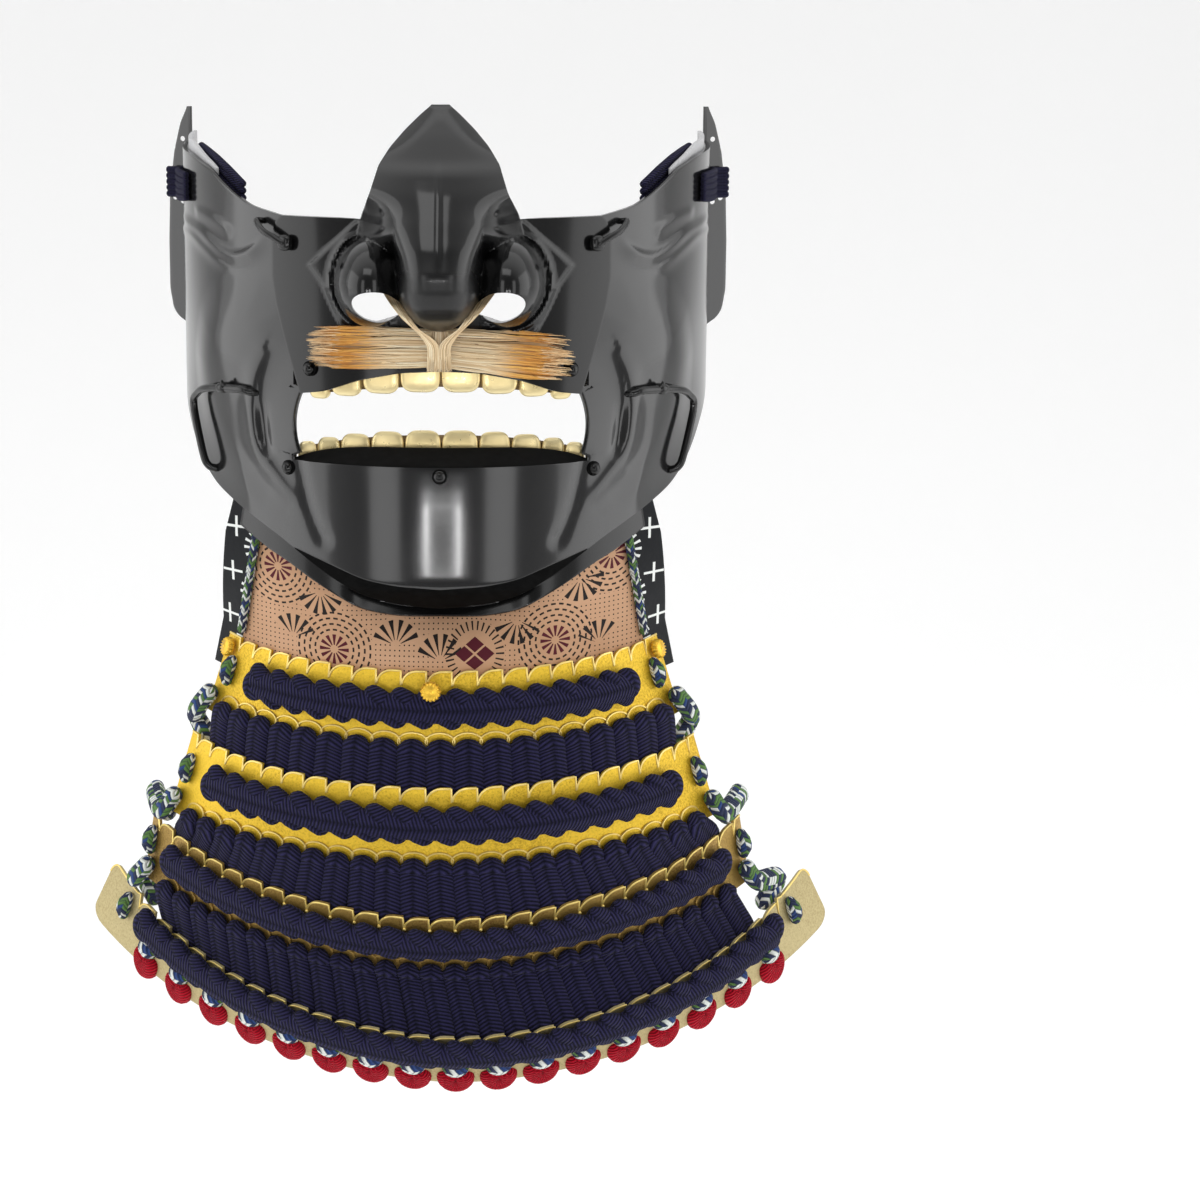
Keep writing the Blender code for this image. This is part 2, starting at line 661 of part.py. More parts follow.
def nose_hooks():
    """Wire hooks that hold the nose plate to the cheeks."""
    for side in SIDES:
        start = [plate_point(side * 46.0, 91.0, out) for out in (GAP, 2.2)]
        middle = shell_point(side * 36.5, 94.5, 5.4)
        end = [shell_point(side * 39.4, 97.0, out) for out in (3.0, GAP + 0.2)]
        path = smooth_path([*start, middle, *end], 2)
        shares = [2.0, 2.0, 1.9, 1.3] + [1.0] * (len(path) - 4)
        sweep(f"nose_hook_{SIDE_NAMES[side]}", path, HOOK_RADIUS, HOOK_RADIUS, BLACK_IRON, sides=6,
              up=(0, 0, 1), shares=shares)


def rivets():
    """Round rivet heads on the chin, the jaw and the nose plate."""
    head = [(RIVET_RADIUS, GAP), (RIVET_RADIUS, 0.7), (1.1, 1.35), (0.4, 1.6)]
    dome("rivet_chin", shell_point(0, 21.5), (0, -1, 0), head, BLACK)
    for side in SIDES:
        turn = side * 33.0
        outward = shell_point(turn, 21.5, 1.0) - shell_point(turn, 21.5)
        dome(f"rivet_jaw_{SIDE_NAMES[side]}", shell_point(turn, 21.5), outward, head, BLACK)
        outward = plate_point(side * 39.0, 53.0, 1.0) - plate_point(side * 39.0, 53.0)
        dome(f"rivet_lip_{SIDE_NAMES[side]}", plate_point(side * 39.0, 53.0), outward, head, BLACK)


def studs():
    """Gilt rosette studs: one at each end of the first lame and one over the middle of its roll."""
    for name, s, down, stem in (("left", -0.955, 3.6, 0.9), ("middle", -0.03, 4.4, 6.3), ("right", 0.955, 3.6, 0.9)):
        _, _, _, _, face = lame_frame(0, s)
        profile = [(0.8, GAP), (0.8, stem), (STUD_RADIUS, stem + 0.1), (STUD_RADIUS, stem + 0.9),
                   (2.1, stem + 1.9), (0.7, stem + 2.4)]
        dome(f"stud_{name}", lame_point(0, s, down), face, profile, GOLD)


def side_cords():
    """Speckled cords at the lames' ends: a loop from each lame to the next, and a knot on each lame."""
    for index in range(4):
        data = LAMES[index]
        for side in SIDES:
            name = f"{SIDE_NAMES[side]}_{index + 1}"
            s = side * (0.945, 0.985, 0.985, 1.012)[index]
            _, tangent, _, down, face = lame_frame(index, s)
            blob(f"knot_{name}", lame_point(index, s, data["roll"], GAP + 2.35),
                 (tangent * 2.2, face * 2.2, down * 4.4), SPECKLED)
            if index == 3:
                continue
            start = lame_point(index, side * 0.962, data["high"] - 7.0, GAP + LOOP_RADIUS + 0.2)
            edge = lame_point(index, side * 0.99, data["high"] - 0.5, GAP + LOOP_RADIUS + 1.2)
            over = lame_point(index + 1, side * 1.06, -LOOP_RADIUS - 1.6, -3.0)
            end = lame_point(index + 1, side, 0.5, -(LAME_PLATE + GAP + LOOP_RADIUS + 1.4))
            sweep(f"side_loop_{name}", smooth_path([start, edge, over, end], 2), LOOP_RADIUS, LOOP_RADIUS,
                  SPECKLED, sides=6, up=(side, 0, 0.4))


def tie_cords():
    """The navy tie cords over the ear strips, with the grey liners and the cord ends inside."""
    for side in SIDES:
        name = SIDE_NAMES[side]
        path = [shell_point(side * turn, 104.5 + (97 - turn) * 0.02, GAP + 1.75) for turn in (70, 76, 82, 88, 92.5)]
        ear = shell_point(side * BEND_TURN, 104.0)
        for reach in (3.0, 7.4):
            path.append(ear + np.array([side * reach, 0.6 * reach - 2.6 - GAP, 0.0]))
        sweep(f"tie_cord_{name}", path, 5.0, 1.3, NAVY, sides=6)
        outer, inner = [], []
        for lift in (-9.0, 0.0, 3.4):
            outer_row, inner_row = [], []
            for turn in (58, 65, 72, 79, 86, 91, 95.5):
                z = along(BROW_LINE, turn) + lift * (1.0 if lift < 0 else min((turn - 54) / 20, 1))
                outer_row.append(shell_point(side * turn, z, -(PLATE + GAP + 0.1)))
                inner_row.append(shell_point(side * turn, z, -(PLATE + GAP + 1.3)))
            outer.append(outer_row)
            inner.append(inner_row)
        sheet(f"ear_liner_{name}", np.array(outer), np.array(inner), GREY_LEATHER)
        path = [shell_point(side * turn, along(BROW_LINE, turn) - 1.5, -(PLATE + 2 * GAP + 1.3 + 1.8))
                for turn in (50, 56, 62, 68, 74)]
        sweep(f"tie_end_{name}", path, 4.6, 1.4, NAVY, sides=6)


def moustache_tie():
    """The band that binds the moustache at its middle."""
    outer, inner = [], []
    for z, deep in ((55.0, 0.0), (56.4, 3.2), (64.4, 3.4), (65.4, 0.6)):
        outer_row, inner_row = [], []
        for x in (-3.2, 0.0, 3.2):
            seat = plate_point(x, z, 2 * GAP + 1.2) + (0, -deep - 0.25, 0)
            outer_row.append(seat + (0, -0.9, 0))
            inner_row.append(seat)
        outer.append(outer_row)
        inner.append(inner_row)
    return sheet("moustache_tie", np.array(outer), np.array(inner), HAIR)


def main():
    clear_scene()
    mask_shell()
    throat_rim()
    nose_plate()
    upper_teeth()
    lower_teeth()
    moustache()
    moustache_tie()
    cheek_bars()
    nose_hooks()
    rivets()
    throat_leather()
    side_leathers()
    for index in range(4):
        lame(index)
        roll(index)
    for index in range(3):
        lacing(index)
    side_cords()
    hem_cords()
    studs()
    tie_cords()


main()
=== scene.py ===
"""Looks of the half mask with its laced throat guard.

Lengths are in millimetres and are scaled to metres when a piece is finished. The face looks along -Y.
"""
import math
import random

import bmesh
import bpy
import numpy as np
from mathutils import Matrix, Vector

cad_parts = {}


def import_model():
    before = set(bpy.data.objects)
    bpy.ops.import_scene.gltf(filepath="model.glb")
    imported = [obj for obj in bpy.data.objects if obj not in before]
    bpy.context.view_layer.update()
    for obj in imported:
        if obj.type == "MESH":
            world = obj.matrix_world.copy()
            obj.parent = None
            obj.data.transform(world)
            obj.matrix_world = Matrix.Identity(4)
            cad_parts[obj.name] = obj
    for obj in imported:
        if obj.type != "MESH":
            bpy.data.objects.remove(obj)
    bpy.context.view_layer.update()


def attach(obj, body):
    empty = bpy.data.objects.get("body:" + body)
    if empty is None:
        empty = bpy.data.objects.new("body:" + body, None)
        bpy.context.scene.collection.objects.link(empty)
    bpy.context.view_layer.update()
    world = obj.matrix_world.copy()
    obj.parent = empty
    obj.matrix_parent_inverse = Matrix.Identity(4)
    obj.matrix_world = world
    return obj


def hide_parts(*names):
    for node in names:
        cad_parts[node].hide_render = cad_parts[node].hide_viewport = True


MM = 0.001
SIDES = (-1, 1)
SIDE_NAMES = {-1: "left", 1: "right"}
CHANCE = random.Random(4)

# Mask plate: the same driving sizes as its solid
PLATE = 1.6
GAP = 0.3
HALF_WIDTH = 87.0
SHELL_DEPTH = 88.0
BEND_TURN = 97.0
MOUTH_HALF = 45.7
LIP_Z = 24.0
LIP_RISE = 36.0
LEDGE_DEPTH = 12.0
NOTCH_HALF = 41.6
MOUTH_TOP = 46.6
JAW_LINE = [(0, -22), (9, -20.5), (16, -17.5), (26, -9), (35, -1), (42, 3.5), (49, 7.5), (57, 12), (64, 18),
            (74, 29), (84, 37), (97, 44)]
BROW_LINE = [(0, 99), (33, 98.5), (44, 101.5), (50, 105.5), (59, 112), (70, 115.5), (97, 118)]
EAR_EDGE = [(56, 87), (58, 91.0), (61, 93.2), (68, 94.4), (84, 94.4), (100, 93.8), (114, 92.0), (123.5, 89.6),
            (129, 87.0)]
CHIN_FRONT = [(-23, 4.5), (-20, 0.5), (-15, -5.7), (-12, -6.5), (-6, -6.73), (0, -6.87), (5, -6.9),
              (12, -6.83), (18, -6.67), (24, -6.4), (46, -3), (60, -1.5), (99, 2)]
SHELL_TOP = 118.0

# The strip before the ear: its ends, where it starts, and how far it runs back for each millimetre outward
EAR_BOTTOM = 56.0
EAR_TOP = 129.0
BEND_X = 86.35
EAR_LEAN = 0.6
EAR_HOLES = [(91.4, 121.2), (88.9, 118.2), (92.4, 115.4), (92.0, 98.6), (89.2, 97.4)]
EAR_HOLE_RADIUS = 0.85

# Relief of the cheeks, as (turn from the front in degrees, height) on the plate, and a degree in millimetres
DEGREE = 1.5
NASO_RIDGE = [(39.0, 56), (41.0, 49), (41.9, 42), (41.9, 36), (41.2, 29), (38.6, 22.5), (34.5, 16),
              (31.5, 12.0)]
NASO_GROOVE = [(39.4, 42), (39.6, 35), (38.9, 27), (37.6, 23)]
CHEEK_BULGE = [(36.5, 68), (41.5, 73.5), (47, 74.6), (53, 71), (58, 63), (60.6, 52), (60.5, 42), (58.5, 33),
               (54, 24), (48, 15.5), (44.5, 12), (42.5, 20), (43.4, 32), (42.8, 44), (40, 54), (36.8, 61)]
UPPER_WRINKLE = [(68, 98.6), (62.4, 97.7), (57, 96.4), (52.5, 94.4), (48.8, 92.2)]
LOWER_WRINKLE = [(86, 94.2), (77, 94.6), (68.8, 93.3), (62, 91.9), (56, 88.6), (51.7, 86.4), (48, 85.6),
                 (44.5, 86.6), (41.6, 88.8), (38.2, 93.3)]
LIGHT_WRINKLE = [(90, 90.5), (77.2, 90.4), (68.2, 89.6), (61, 86.6), (54, 83.0), (47.6, 81.1)]
# Each wrinkle with its height and the width of its gentle side
WRINKLES = [(UPPER_WRINKLE, 0.6, 2.6), (LOWER_WRINKLE, 1.0, 3.2), (LIGHT_WRINKLE, 0.5, 2.4)]
CHIN_FOLD = 7.6
FOLD_TURN = 32.0
FOLD_ROW = 8 / 49
CHIN_CREASE = [(30.5, 25), (28.4, 12), (26.4, 4), (23.5, -4)]

# Nose plate
PLATE_BOTTOM = [(0, 53.4), (12, 52.8), (25, 50.2), (36, 46.2), (44, 45)]
PLATE_EDGE = [(45, 43.5), (52, 45.6), (62, 48.6), (72, 51.2), (80, 52.5), (93, 52.5), (97.5, 51.0),
              (99, 49.2)]
PLATE_TOP = 99.0
NOSE_TOP = 133.0
NOSE_RIDGE = [(62, -3), (65, -7), (68, -19), (71, -28), (75, -34), (80, -37), (85, -38), (93, -34.5),
              (100, -30.5), (108, -25.5), (114, -21), (117, -16), (124, -8), (130, 0), (133, 4)]
NOSE_HALF = [(60, 22), (70, 24), (80, 25.5), (93, 25.5), (100, 24), (108, 20.5), (114, 18.6), (116, 18.0),
             (121, 14.8), (126, 10.4), (130, 6.2), (132.2, 3.6), (133, 2.4)]
NOSE_BACK = [(60, -2), (99, 3), (115, 3.5), (133, 6)]
NOSTRIL = dict(x=17.4, z=74.2, half=8.6, high=4.9, lean=14.0)
TIP = dict(z=82.0, wide=13.2, high=15.6)
FLARE = dict(x=20.8, z=80.5, wide=11.6, high=13.5, front=-24.5)
KITE = [(18, 118), (24.6, 99), (27, 97), (40.4, 84.6), (36.2, 79.2), (32, 70), (28.4, 63.5), (20, 61),
        (-5, 60), (-5, 140), (12, 130)]

# Teeth: the edges between them, and half the width of each row
UPPER_EDGES = [-40.6, -33.8, -23.8, -12.2, 0.3, 12.4, 23.8, 33.6, 40.4]
LOWER_EDGES = [-44.8, -38.8, -31.4, -21.8, -11.2, 0.2, 11.6, 21.6, 31.2, 38.6, 44.8]
UPPER_HALF = 40.4
LOWER_HALF = 43.0
TOOTH_DEEP = 2.8

# Moustache
HAIR_CLUMPS = 120
HAIRS_IN_CLUMP = 8
HAIR_REACH = 40.0
HAIR_LEVEL = 60.8
HAIR_HALF = 5.2
HAIR_RADIUS = 0.13

# The tie's arms, as (across, spread, front, spread, up, spread), and its band, as (width, front, spread, up)
ARM_HAIRS = 260
ARM_ROUTE = [(14.6, 2.8, -9.0, 1.0, 78.0, 0.8), (11.4, 2.6, -18.5, 1.4, 73.6, 1.4),
             (8.0, 2.2, -20.4, 1.2, 69.4, 1.4), (4.6, 2.0, -15.6, 0.8, 66.0, 0.8),
             (2.0, 1.7, -12.0, 0.6, 62.4, 0.0), (1.7, 1.8, -10.6, 0.6, 59.0, 0.0),
             (1.8, 2.0, -9.0, 0.7, 54.6, 0.0)]
BAND_HAIRS = 170
BAND_HALF = 3.2
BAND_ROUTE = [(0.8, -11.4, 0.5, 66.4), (1.0, -11.2, 0.5, 62.5), (1.0, -10.4, 0.5, 58.5),
              (1.05, -8.9, 0.6, 54.6)]
TIE_HAIR_RADIUS = 0.12

# Lames: the same driving sizes as their solids
LAMES = [
    dict(half=69.5, arc=60, deep=41, front=-2.0, top=-41.3, rise=3.0, tilt=0, tilt_end=-13, fan=12, high=27,
         roll=10.8, lace=21.0, tabs=19, tab_span=0.90, shift=0.0),
    dict(half=82.0, arc=58, deep=46, front=-9.5, top=-77.0, rise=6.0, tilt=8, tilt_end=-12, fan=12, high=28,
         roll=11.0, lace=23.0, tabs=23, tab_span=0.95, shift=0.0),
    dict(half=97.0, arc=55, deep=55, front=-12.8, top=-118.6, rise=18.5, tilt=25, tilt_end=-4, fan=12,
         high=23, roll=8.0, lace=17.5, tabs=27, tab_span=0.96, shift=1.0),
    dict(half=106.0, arc=50, deep=55, front=-11.6, top=-158.4, rise=28.0, tilt=30, tilt_end=-4, fan=18,
         high=21.5, roll=6.2, lace=0.0, tabs=30, tab_span=1.0, shift=5.0),
]
RISE_POWER = 1.75
LAME_PLATE = 1.2
TAB_HIGH = 4.3
TAB_ROUND = 0.6
ROLL_HIGH = 5.6
ROLL_DEEP = 3.1
ROLL_SPANS = [0.72, 0.79, 0.855, 0.935]
ROLL_LIFTS = [0.0, 0.0, 0.0, 2.2]
ROLL_SLANTS = [43, 43, 38, 38]
KNOT_PLACES = [0.905, 0.948, 0.975, 1.038]
KNOT_HALF = 3.4
CORDS = [19, 23, 28]
CORD_THICK = 1.9
LACED_SHARE = 0.92
END_TAB = 17.0
LOOP_RADIUS = 2.6

# Hem, with the two strands of a loop as (half width, half depth), and studs as (name, s, down, stem)
HEM_LOOPS = 17
HEM_SPAN = 0.985
LOOP_SHARE = 0.76
HEM_STRANDS = [(3.4, 2.8), (1.8, 2.6)]
HEM_CORD_HIGH = 2.9
HEM_PAD = (3.4, 3.6, 4.4)
STUDS = [("left", -0.955, 3.6, 0.9), ("middle", -0.03, 4.4, 6.3), ("right", 0.955, 3.6, 0.9)]
STUD_RADIUS = 3.2

# Prints on the leathers, by place across and up; a ring has its dashes, a fan its first and last angle
DOT_PITCH = 1.5
ROSETTES = [(-33.5, -36.0), (36.0, -33.0), (-52.0, -12.0), (54.0, -8.0)]
ROSETTE_RINGS = [(6.2, 17), (8.0, 21), (9.8, 25), (11.6, 29)]
LOZENGE_FLOWER = (10.8, -36.0)
FANS = [(-14.0, -34.0, 0.2, 2.9), (-47.0, -34.0, 0.4, 2.6), (-38.0, -18.0, -2.9, -0.2),
        (24.0, -26.0, -3.0, -0.4), (0.0, -38.0, 0.3, 2.8), (44.0, -14.0, -2.6, 0.2), (50.0, -36.0, 0.6, 2.7)]
CROSS_LEVELS = [-2.0, -17.5, -33.0]
CROSS_REACH = 66.5

# Leathers, with the widths and angles of the side ones from top to bottom, and the rim above them
LEATHER = 1.4
FLAP_LEATHER = 1.1
LEATHER_TURN = 46.0
FLAP_WIDTHS = [13.5, 17.0, 21.0, 20.0]
FLAP_ANGLES = [38, 36, 58.5, 60]
CORD_RADIUS = 1.5
RIM_DROP = 8.5
RIM_PLATE = 1.4
RIM_SEAT = PLATE + GAP + 1.8

# Hardware
BAR_RADIUS = 1.25
BAR_STAND = 3.4
HOOK_RADIUS = 1.0
RIVET_RADIUS = 1.6
HEAD_SWELL = 1.2
SHADE_RING_SWELL = 1.22

# The room, in metres, and how bright it is in front of the mask and beside it
FLOOR = -0.4
FLOOR_FRONT = -0.35
FLOOR_BEND = 0.7
SWEEP_RADIUS = 0.9
ROOM_FRONT = 0.2
ROOM_SIDE = 1.25

# Lights, as (name, angle from the front, height, distance, size, brightness)
PAIRED_LIGHTS = [("strip", 8.2, -0.265, 1.25, (0.055, 0.22), 24.0), ("front", 29, 0.0, 1.3, (0.34, 1.3), 1.7),
                 ("side", 80, 0.15, 1.2, (1.0, 1.3), 1.2)]
SINGLE_LIGHTS = [("middle", 0, -0.265, 1.27, (0.30, 0.20), 0.9),
                 ("line_high", 0, -0.16, 1.24, (0.37, 0.018), 16.0),
                 ("line_low", 0, -0.37, 1.24, (0.37, 0.018), 16.0), ("top", -12, 1.25, 0.8, (0.9, 0.5), 2.0)]
LIGHT_TARGET = (0, 0.03, 0.02)

# The camera of the photograph
CAMERA_TARGET = (0.0, 0.040, -0.027)
CAMERA_DISTANCE = 0.921
CAMERA_PITCH = 12
CAMERA_YAW = 1.3
CAMERA_LENS = 85
CAMERA_SHIFT = 0.1308


def along(table, value):
    """Straight-line reading of a short table of (place, value) pairs."""
    places, values = np.array(table, float).T
    return np.interp(value, places, values)


def eased(table, value):
    """Rounded reading of the same kind of table: its corners are worn off."""
    places, values = np.array(table, float).T
    reach = 0.28 * np.min(np.diff(places)) + 0.012 * (places[-1] - places[0])
    shifts = np.linspace(-1, 1, 7)
    weights = 1 - 0.8 * shifts ** 2
    return sum(weight * np.interp(value + shift * reach, places, values)
               for weight, shift in zip(weights, shifts)) / weights.sum()


def unit(vector):
    return vector / np.linalg.norm(vector)


def smooth_step(value, low, high):
    t = np.clip((np.asarray(value, float) - low) / (high - low), 0, 1)
    return t * t * (3 - 2 * t)


def line_distance(x, z, route, stretch=1.0):
    """Distance to a route in the plane, the side it lies on, and how far along it, from 0 to 1."""
    best = np.full(np.shape(x), 1e9)
    side = np.zeros(np.shape(x))
    place = np.zeros(np.shape(x))
    count = len(route) - 1
    for index, ((ax, az), (bx, bz)) in enumerate(zip(route, route[1:])):
        run = np.array([(bx - ax) * stretch, bz - az])
        px, pz = (x - ax) * stretch, z - az
        t = np.clip((px * run[0] + pz * run[1]) / np.dot(run, run), 0, 1)
        dx, dz = px - t * run[0], pz - t * run[1]
        distance = np.hypot(dx, dz)
        near = distance < best
        best = np.where(near, distance, best)
        side = np.where(near, np.sign(run[0] * dz - run[1] * dx), side)
        place = np.where(near, (index + t) / count, place)
    return best, side, place


def inside(x, z, outline):
    """True where (x, z) lies within a closed outline."""
    result = np.zeros(np.shape(x), bool)
    for (ax, az), (bx, bz) in zip(outline, outline[1:] + outline[:1]):
        if az == bz:
            continue
        crosses = (az > z) != (bz > z)
        result ^= crosses & (x < (bx - ax) * (z - az) / (bz - az) + ax)
    return result


def plateau(x, z, outline, soft, stretch=1.0):
    """1 within a closed outline, 0 outside it, with an edge that many millimetres soft."""
    distance, _, _ = line_distance(x, z, outline + outline[:1], stretch)
    signed = np.where(inside(x, z, outline), distance, -distance)
    return smooth_step(signed, -0.5 * soft, 0.5 * soft)


def catmull(points, steps):
    """Points of a Catmull-Rom curve through the route's own points."""
    points = [np.array(point, float) for point in points]
    points = [2 * points[0] - points[1], *points, 2 * points[-1] - points[-2]]
    route = []
    for a, b, c, d in zip(points, points[1:], points[2:], points[3:]):
        for step in range(steps):
            t = step / steps
            route.append(0.5 * (2 * b + (c - a) * t + (2 * a - 5 * b + 4 * c - d) * t * t
                                + (3 * b - a - 3 * c + d) * t ** 3))
    route.append(points[-2])
    return route


# Making and finishing pieces

def deselect():
    if bpy.context.object and bpy.context.object.mode != "OBJECT":
        bpy.ops.object.mode_set(mode="OBJECT")
    bpy.ops.object.select_all(action="DESELECT")


def take(piece):
    deselect()
    piece.select_set(True)
    bpy.context.view_layer.objects.active = piece


def grid(name, columns, rows, place):
    """A primitive grid whose corners go to place(column value, row value), in arrays, in millimetres."""
    deselect()
    bpy.ops.mesh.primitive_grid_add(x_subdivisions=len(columns) - 1, y_subdivisions=len(rows) - 1, size=2)
    piece = bpy.context.object
    piece.name = name
    flat = np.empty(len(piece.data.vertices) * 3)
    piece.data.vertices.foreach_get("co", flat)
    flat = flat.reshape(-1, 3)
    column = np.rint((flat[:, 0] + 1) / 2 * (len(columns) - 1)).astype(int)
    row = np.rint((flat[:, 1] + 1) / 2 * (len(rows) - 1)).astype(int)
    points = place(np.asarray(columns, float)[column], np.asarray(rows, float)[row])
    piece.data.vertices.foreach_set("co", np.ascontiguousarray(points, dtype=np.float32).ravel())
    piece.data.update()
    return piece


def drop_faces(piece, wide, gone):
    """Deletes the faces of a grid, wide corners across, where gone(column, row, height) is true."""
    take(piece)
    bpy.ops.object.mode_set(mode="EDIT")
    shape = bmesh.from_edit_mesh(piece.data)
    for face in shape.faces:
        spot = [corner.index for corner in face.verts]
        column, row = min(index % wide for index in spot), min(index // wide for index in spot)
        face.select_set(bool(gone(column, row, face.calc_center_median()[2])))
    bmesh.update_edit_mesh(piece.data)
    bpy.ops.mesh.delete(type="FACE")
    bpy.ops.object.mode_set(mode="OBJECT")


def face_outward(piece, toward):
    """Turns an open skin's faces so that most of them look the given way."""
    take(piece)
    total = sum((np.array(face.normal) * face.area for face in piece.data.polygons), np.zeros(3))
    if np.dot(total, toward) < 0:
        bpy.ops.object.mode_set(mode="EDIT")
        bpy.ops.mesh.select_all(action="SELECT")
        bpy.ops.mesh.flip_normals()
        bpy.ops.object.mode_set(mode="OBJECT")


def apply_modifier(piece, kind, **values):
    take(piece)
    modifier = piece.modifiers.new(kind.title(), kind)
    for key, value in values.items():
        setattr(modifier, key, value)
    bpy.ops.object.modifier_apply(modifier=modifier.name)


def thicken(piece, thick):
    """Gives an open skin its thickness on the inner side."""
    apply_modifier(piece, "SOLIDIFY", thickness=thick, offset=-1, use_even_offset=False)


def soften(piece, width, angle=60):
    """Rounds the edges that are sharper than an angle."""
    apply_modifier(piece, "BEVEL", width=width, segments=2, limit_method="ANGLE",
                   angle_limit=math.radians(angle))


def wall(piece, thick, edge=0.35):
    """Gives an open skin its thickness and softly rounded edges."""
    thicken(piece, thick)
    if edge:
        soften(piece, edge)


def peg(corners, radius, depth, centre=(0, 0, 0)):
    """A cylinder along Y, to cut a hole with."""
    deselect()
    bpy.ops.mesh.primitive_cylinder_add(vertices=corners, radius=radius, depth=depth, location=centre,
                                        rotation=(math.radians(90), 0, 0))
    bpy.ops.object.transform_apply(location=True, rotation=True, scale=True)
    return bpy.context.object


def pierce(piece, cutter):
    """Cuts the cutter's shape out of a piece and removes the cutter."""
    apply_modifier(piece, "BOOLEAN", operation="DIFFERENCE", solver="EXACT", object=cutter)
    bpy.data.objects.remove(cutter, do_unlink=True)


def join(pieces, name):
    """Joins pieces into the first one."""
    deselect()
    for piece in pieces:
        piece.select_set(True)
    bpy.context.view_layer.objects.active = pieces[0]
    if len(pieces) > 1:
        bpy.ops.object.join()
    piece = bpy.context.object
    piece.name = name
    return piece


def finish(piece, look, nodes, sharp=38):
    """Scales to metres, smooths, and ties the piece to its look and its nodes."""
    take(piece)
    piece.scale = (MM, MM, MM)
    bpy.ops.object.transform_apply(location=True, rotation=True, scale=True)
    bpy.ops.object.shade_smooth_by_angle(angle=math.radians(sharp))
    piece.data.materials.clear()
    piece.data.materials.append(look)
    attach(piece, "root")
    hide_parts(*nodes)
    return piece


def piece_from(shape, name):
    """A piece made of the faces that were gathered in a bmesh."""
    bmesh.ops.recalc_face_normals(shape, faces=shape.faces)
    mesh = bpy.data.meshes.new(name)
    shape.to_mesh(mesh)
    shape.free()
    piece = bpy.data.objects.new(name, mesh)
    bpy.context.collection.objects.link(piece)
    return piece


def frames(path, up):
    """Across and up vectors at each point of a path."""
    result = []
    for index in range(len(path)):
        ahead = path[min(index + 1, len(path) - 1)] - path[max(index - 1, 0)]
        upward = np.array(up[index] if isinstance(up, list) else up, float)
        across = unit(np.cross(ahead, upward))
        result.append((across, unit(np.cross(across, ahead))))
    return result


def tube(name, path, high, deep, up=(0, 0, 1), sides=12, shares=None, round_ends=True):
    """A closed cord along a path: high along up, deep across; its UV is 0..1 round and millimetres along."""
    path = [np.array(point, float) for point in path]
    if round_ends:
        first, last = path[1] - path[0], path[-1] - path[-2]
        reach = min(high, deep) * 0.8
        steps, taper = (1.0, 0.72, 0.36), (0.22, 0.66, 0.92)
        start = [path[0] - unit(first) * reach * k for k in steps]
        end = [path[-1] + unit(last) * reach * k for k in reversed(steps)]
        shares = list(shares) if shares else [1.0] * len(path)
        shares = [shares[0] * k for k in taper] + shares + [shares[-1] * k for k in reversed(taper)]
        if isinstance(up, list):
            up = [up[0]] * 3 + up + [up[-1]] * 3
        path = start + path + end
    directions = frames(path, up)
    lengths = np.concatenate([[0], np.cumsum([np.linalg.norm(b - a) for a, b in zip(path, path[1:])])])
    shape = bmesh.new()
    sheet_uv = shape.loops.layers.uv.new("UVMap")
    rings = []
    for index, (point, (across, upward)) in enumerate(zip(path, directions)):
        share = shares[index] if shares else 1.0
        ring = []
        for side in range(sides):
            turn = 2 * math.pi * side / sides
            ring.append(shape.verts.new(point + share * (upward * high * math.sin(turn)
                                                         + across * deep * math.cos(turn))))
        rings.append(ring)
    for index, (first, second) in enumerate(zip(rings, rings[1:])):
        for side in range(sides):
            after = (side + 1) % sides
            face = shape.faces.new([first[side], first[after], second[after], second[side]])
            for loop, (k, step) in zip(face.loops, ((side, index), (side + 1, index), (side + 1, index + 1),
                                                    (side, index + 1))):
                loop[sheet_uv].uv = (k / sides, lengths[step])
    for ring, step in ((list(reversed(rings[0])), 0), (rings[-1], -1)):
        face = shape.faces.new(ring)
        for loop in face.loops:
            loop[sheet_uv].uv = (0.5, lengths[step])
    return piece_from(shape, name)


# Places on the mask and the lames, as in the solids

def shell_base(turn, z):
    angle = np.radians(turn)
    front = eased(CHIN_FRONT, z)
    x = HALF_WIDTH * np.sin(angle)
    y = SHELL_DEPTH * (1 - np.cos(angle)) + front * np.maximum(np.cos(angle), 0) ** 2
    return np.stack([x, y, np.asarray(z, float) + 0 * x], axis=-1)


def shell_normal(turn):
    angle = np.radians(turn)
    normal = np.stack([SHELL_DEPTH * np.sin(angle), -HALF_WIDTH * np.cos(angle), 0 * angle], axis=-1)
    return normal / np.linalg.norm(normal, axis=-1, keepdims=True)


def shell_bulge(turn, z):
    return 2.6 * np.exp(-((np.abs(turn) - 54) / 13) ** 2 - ((z - 56) / 20) ** 2)


def shell_point(turn, z, out=0.0):
    turn, z = np.asarray(turn, float), np.asarray(z, float)
    return shell_base(turn, z) + shell_normal(turn) * np.asarray(shell_bulge(turn, z) + out)[..., None]


def turn_at(x):
    return np.degrees(np.arcsin(np.clip(np.asarray(x, float) / HALF_WIDTH, -1, 1)))


def plate_point(x, z, out=0.0):
    return shell_point(turn_at(x), z, PLATE + GAP + 0.7 + out)


def ledge_back(turn):
    return LEDGE_DEPTH * np.maximum(1 - (np.abs(turn) / turn_at(MOUTH_HALF)) ** 4, 0.0)


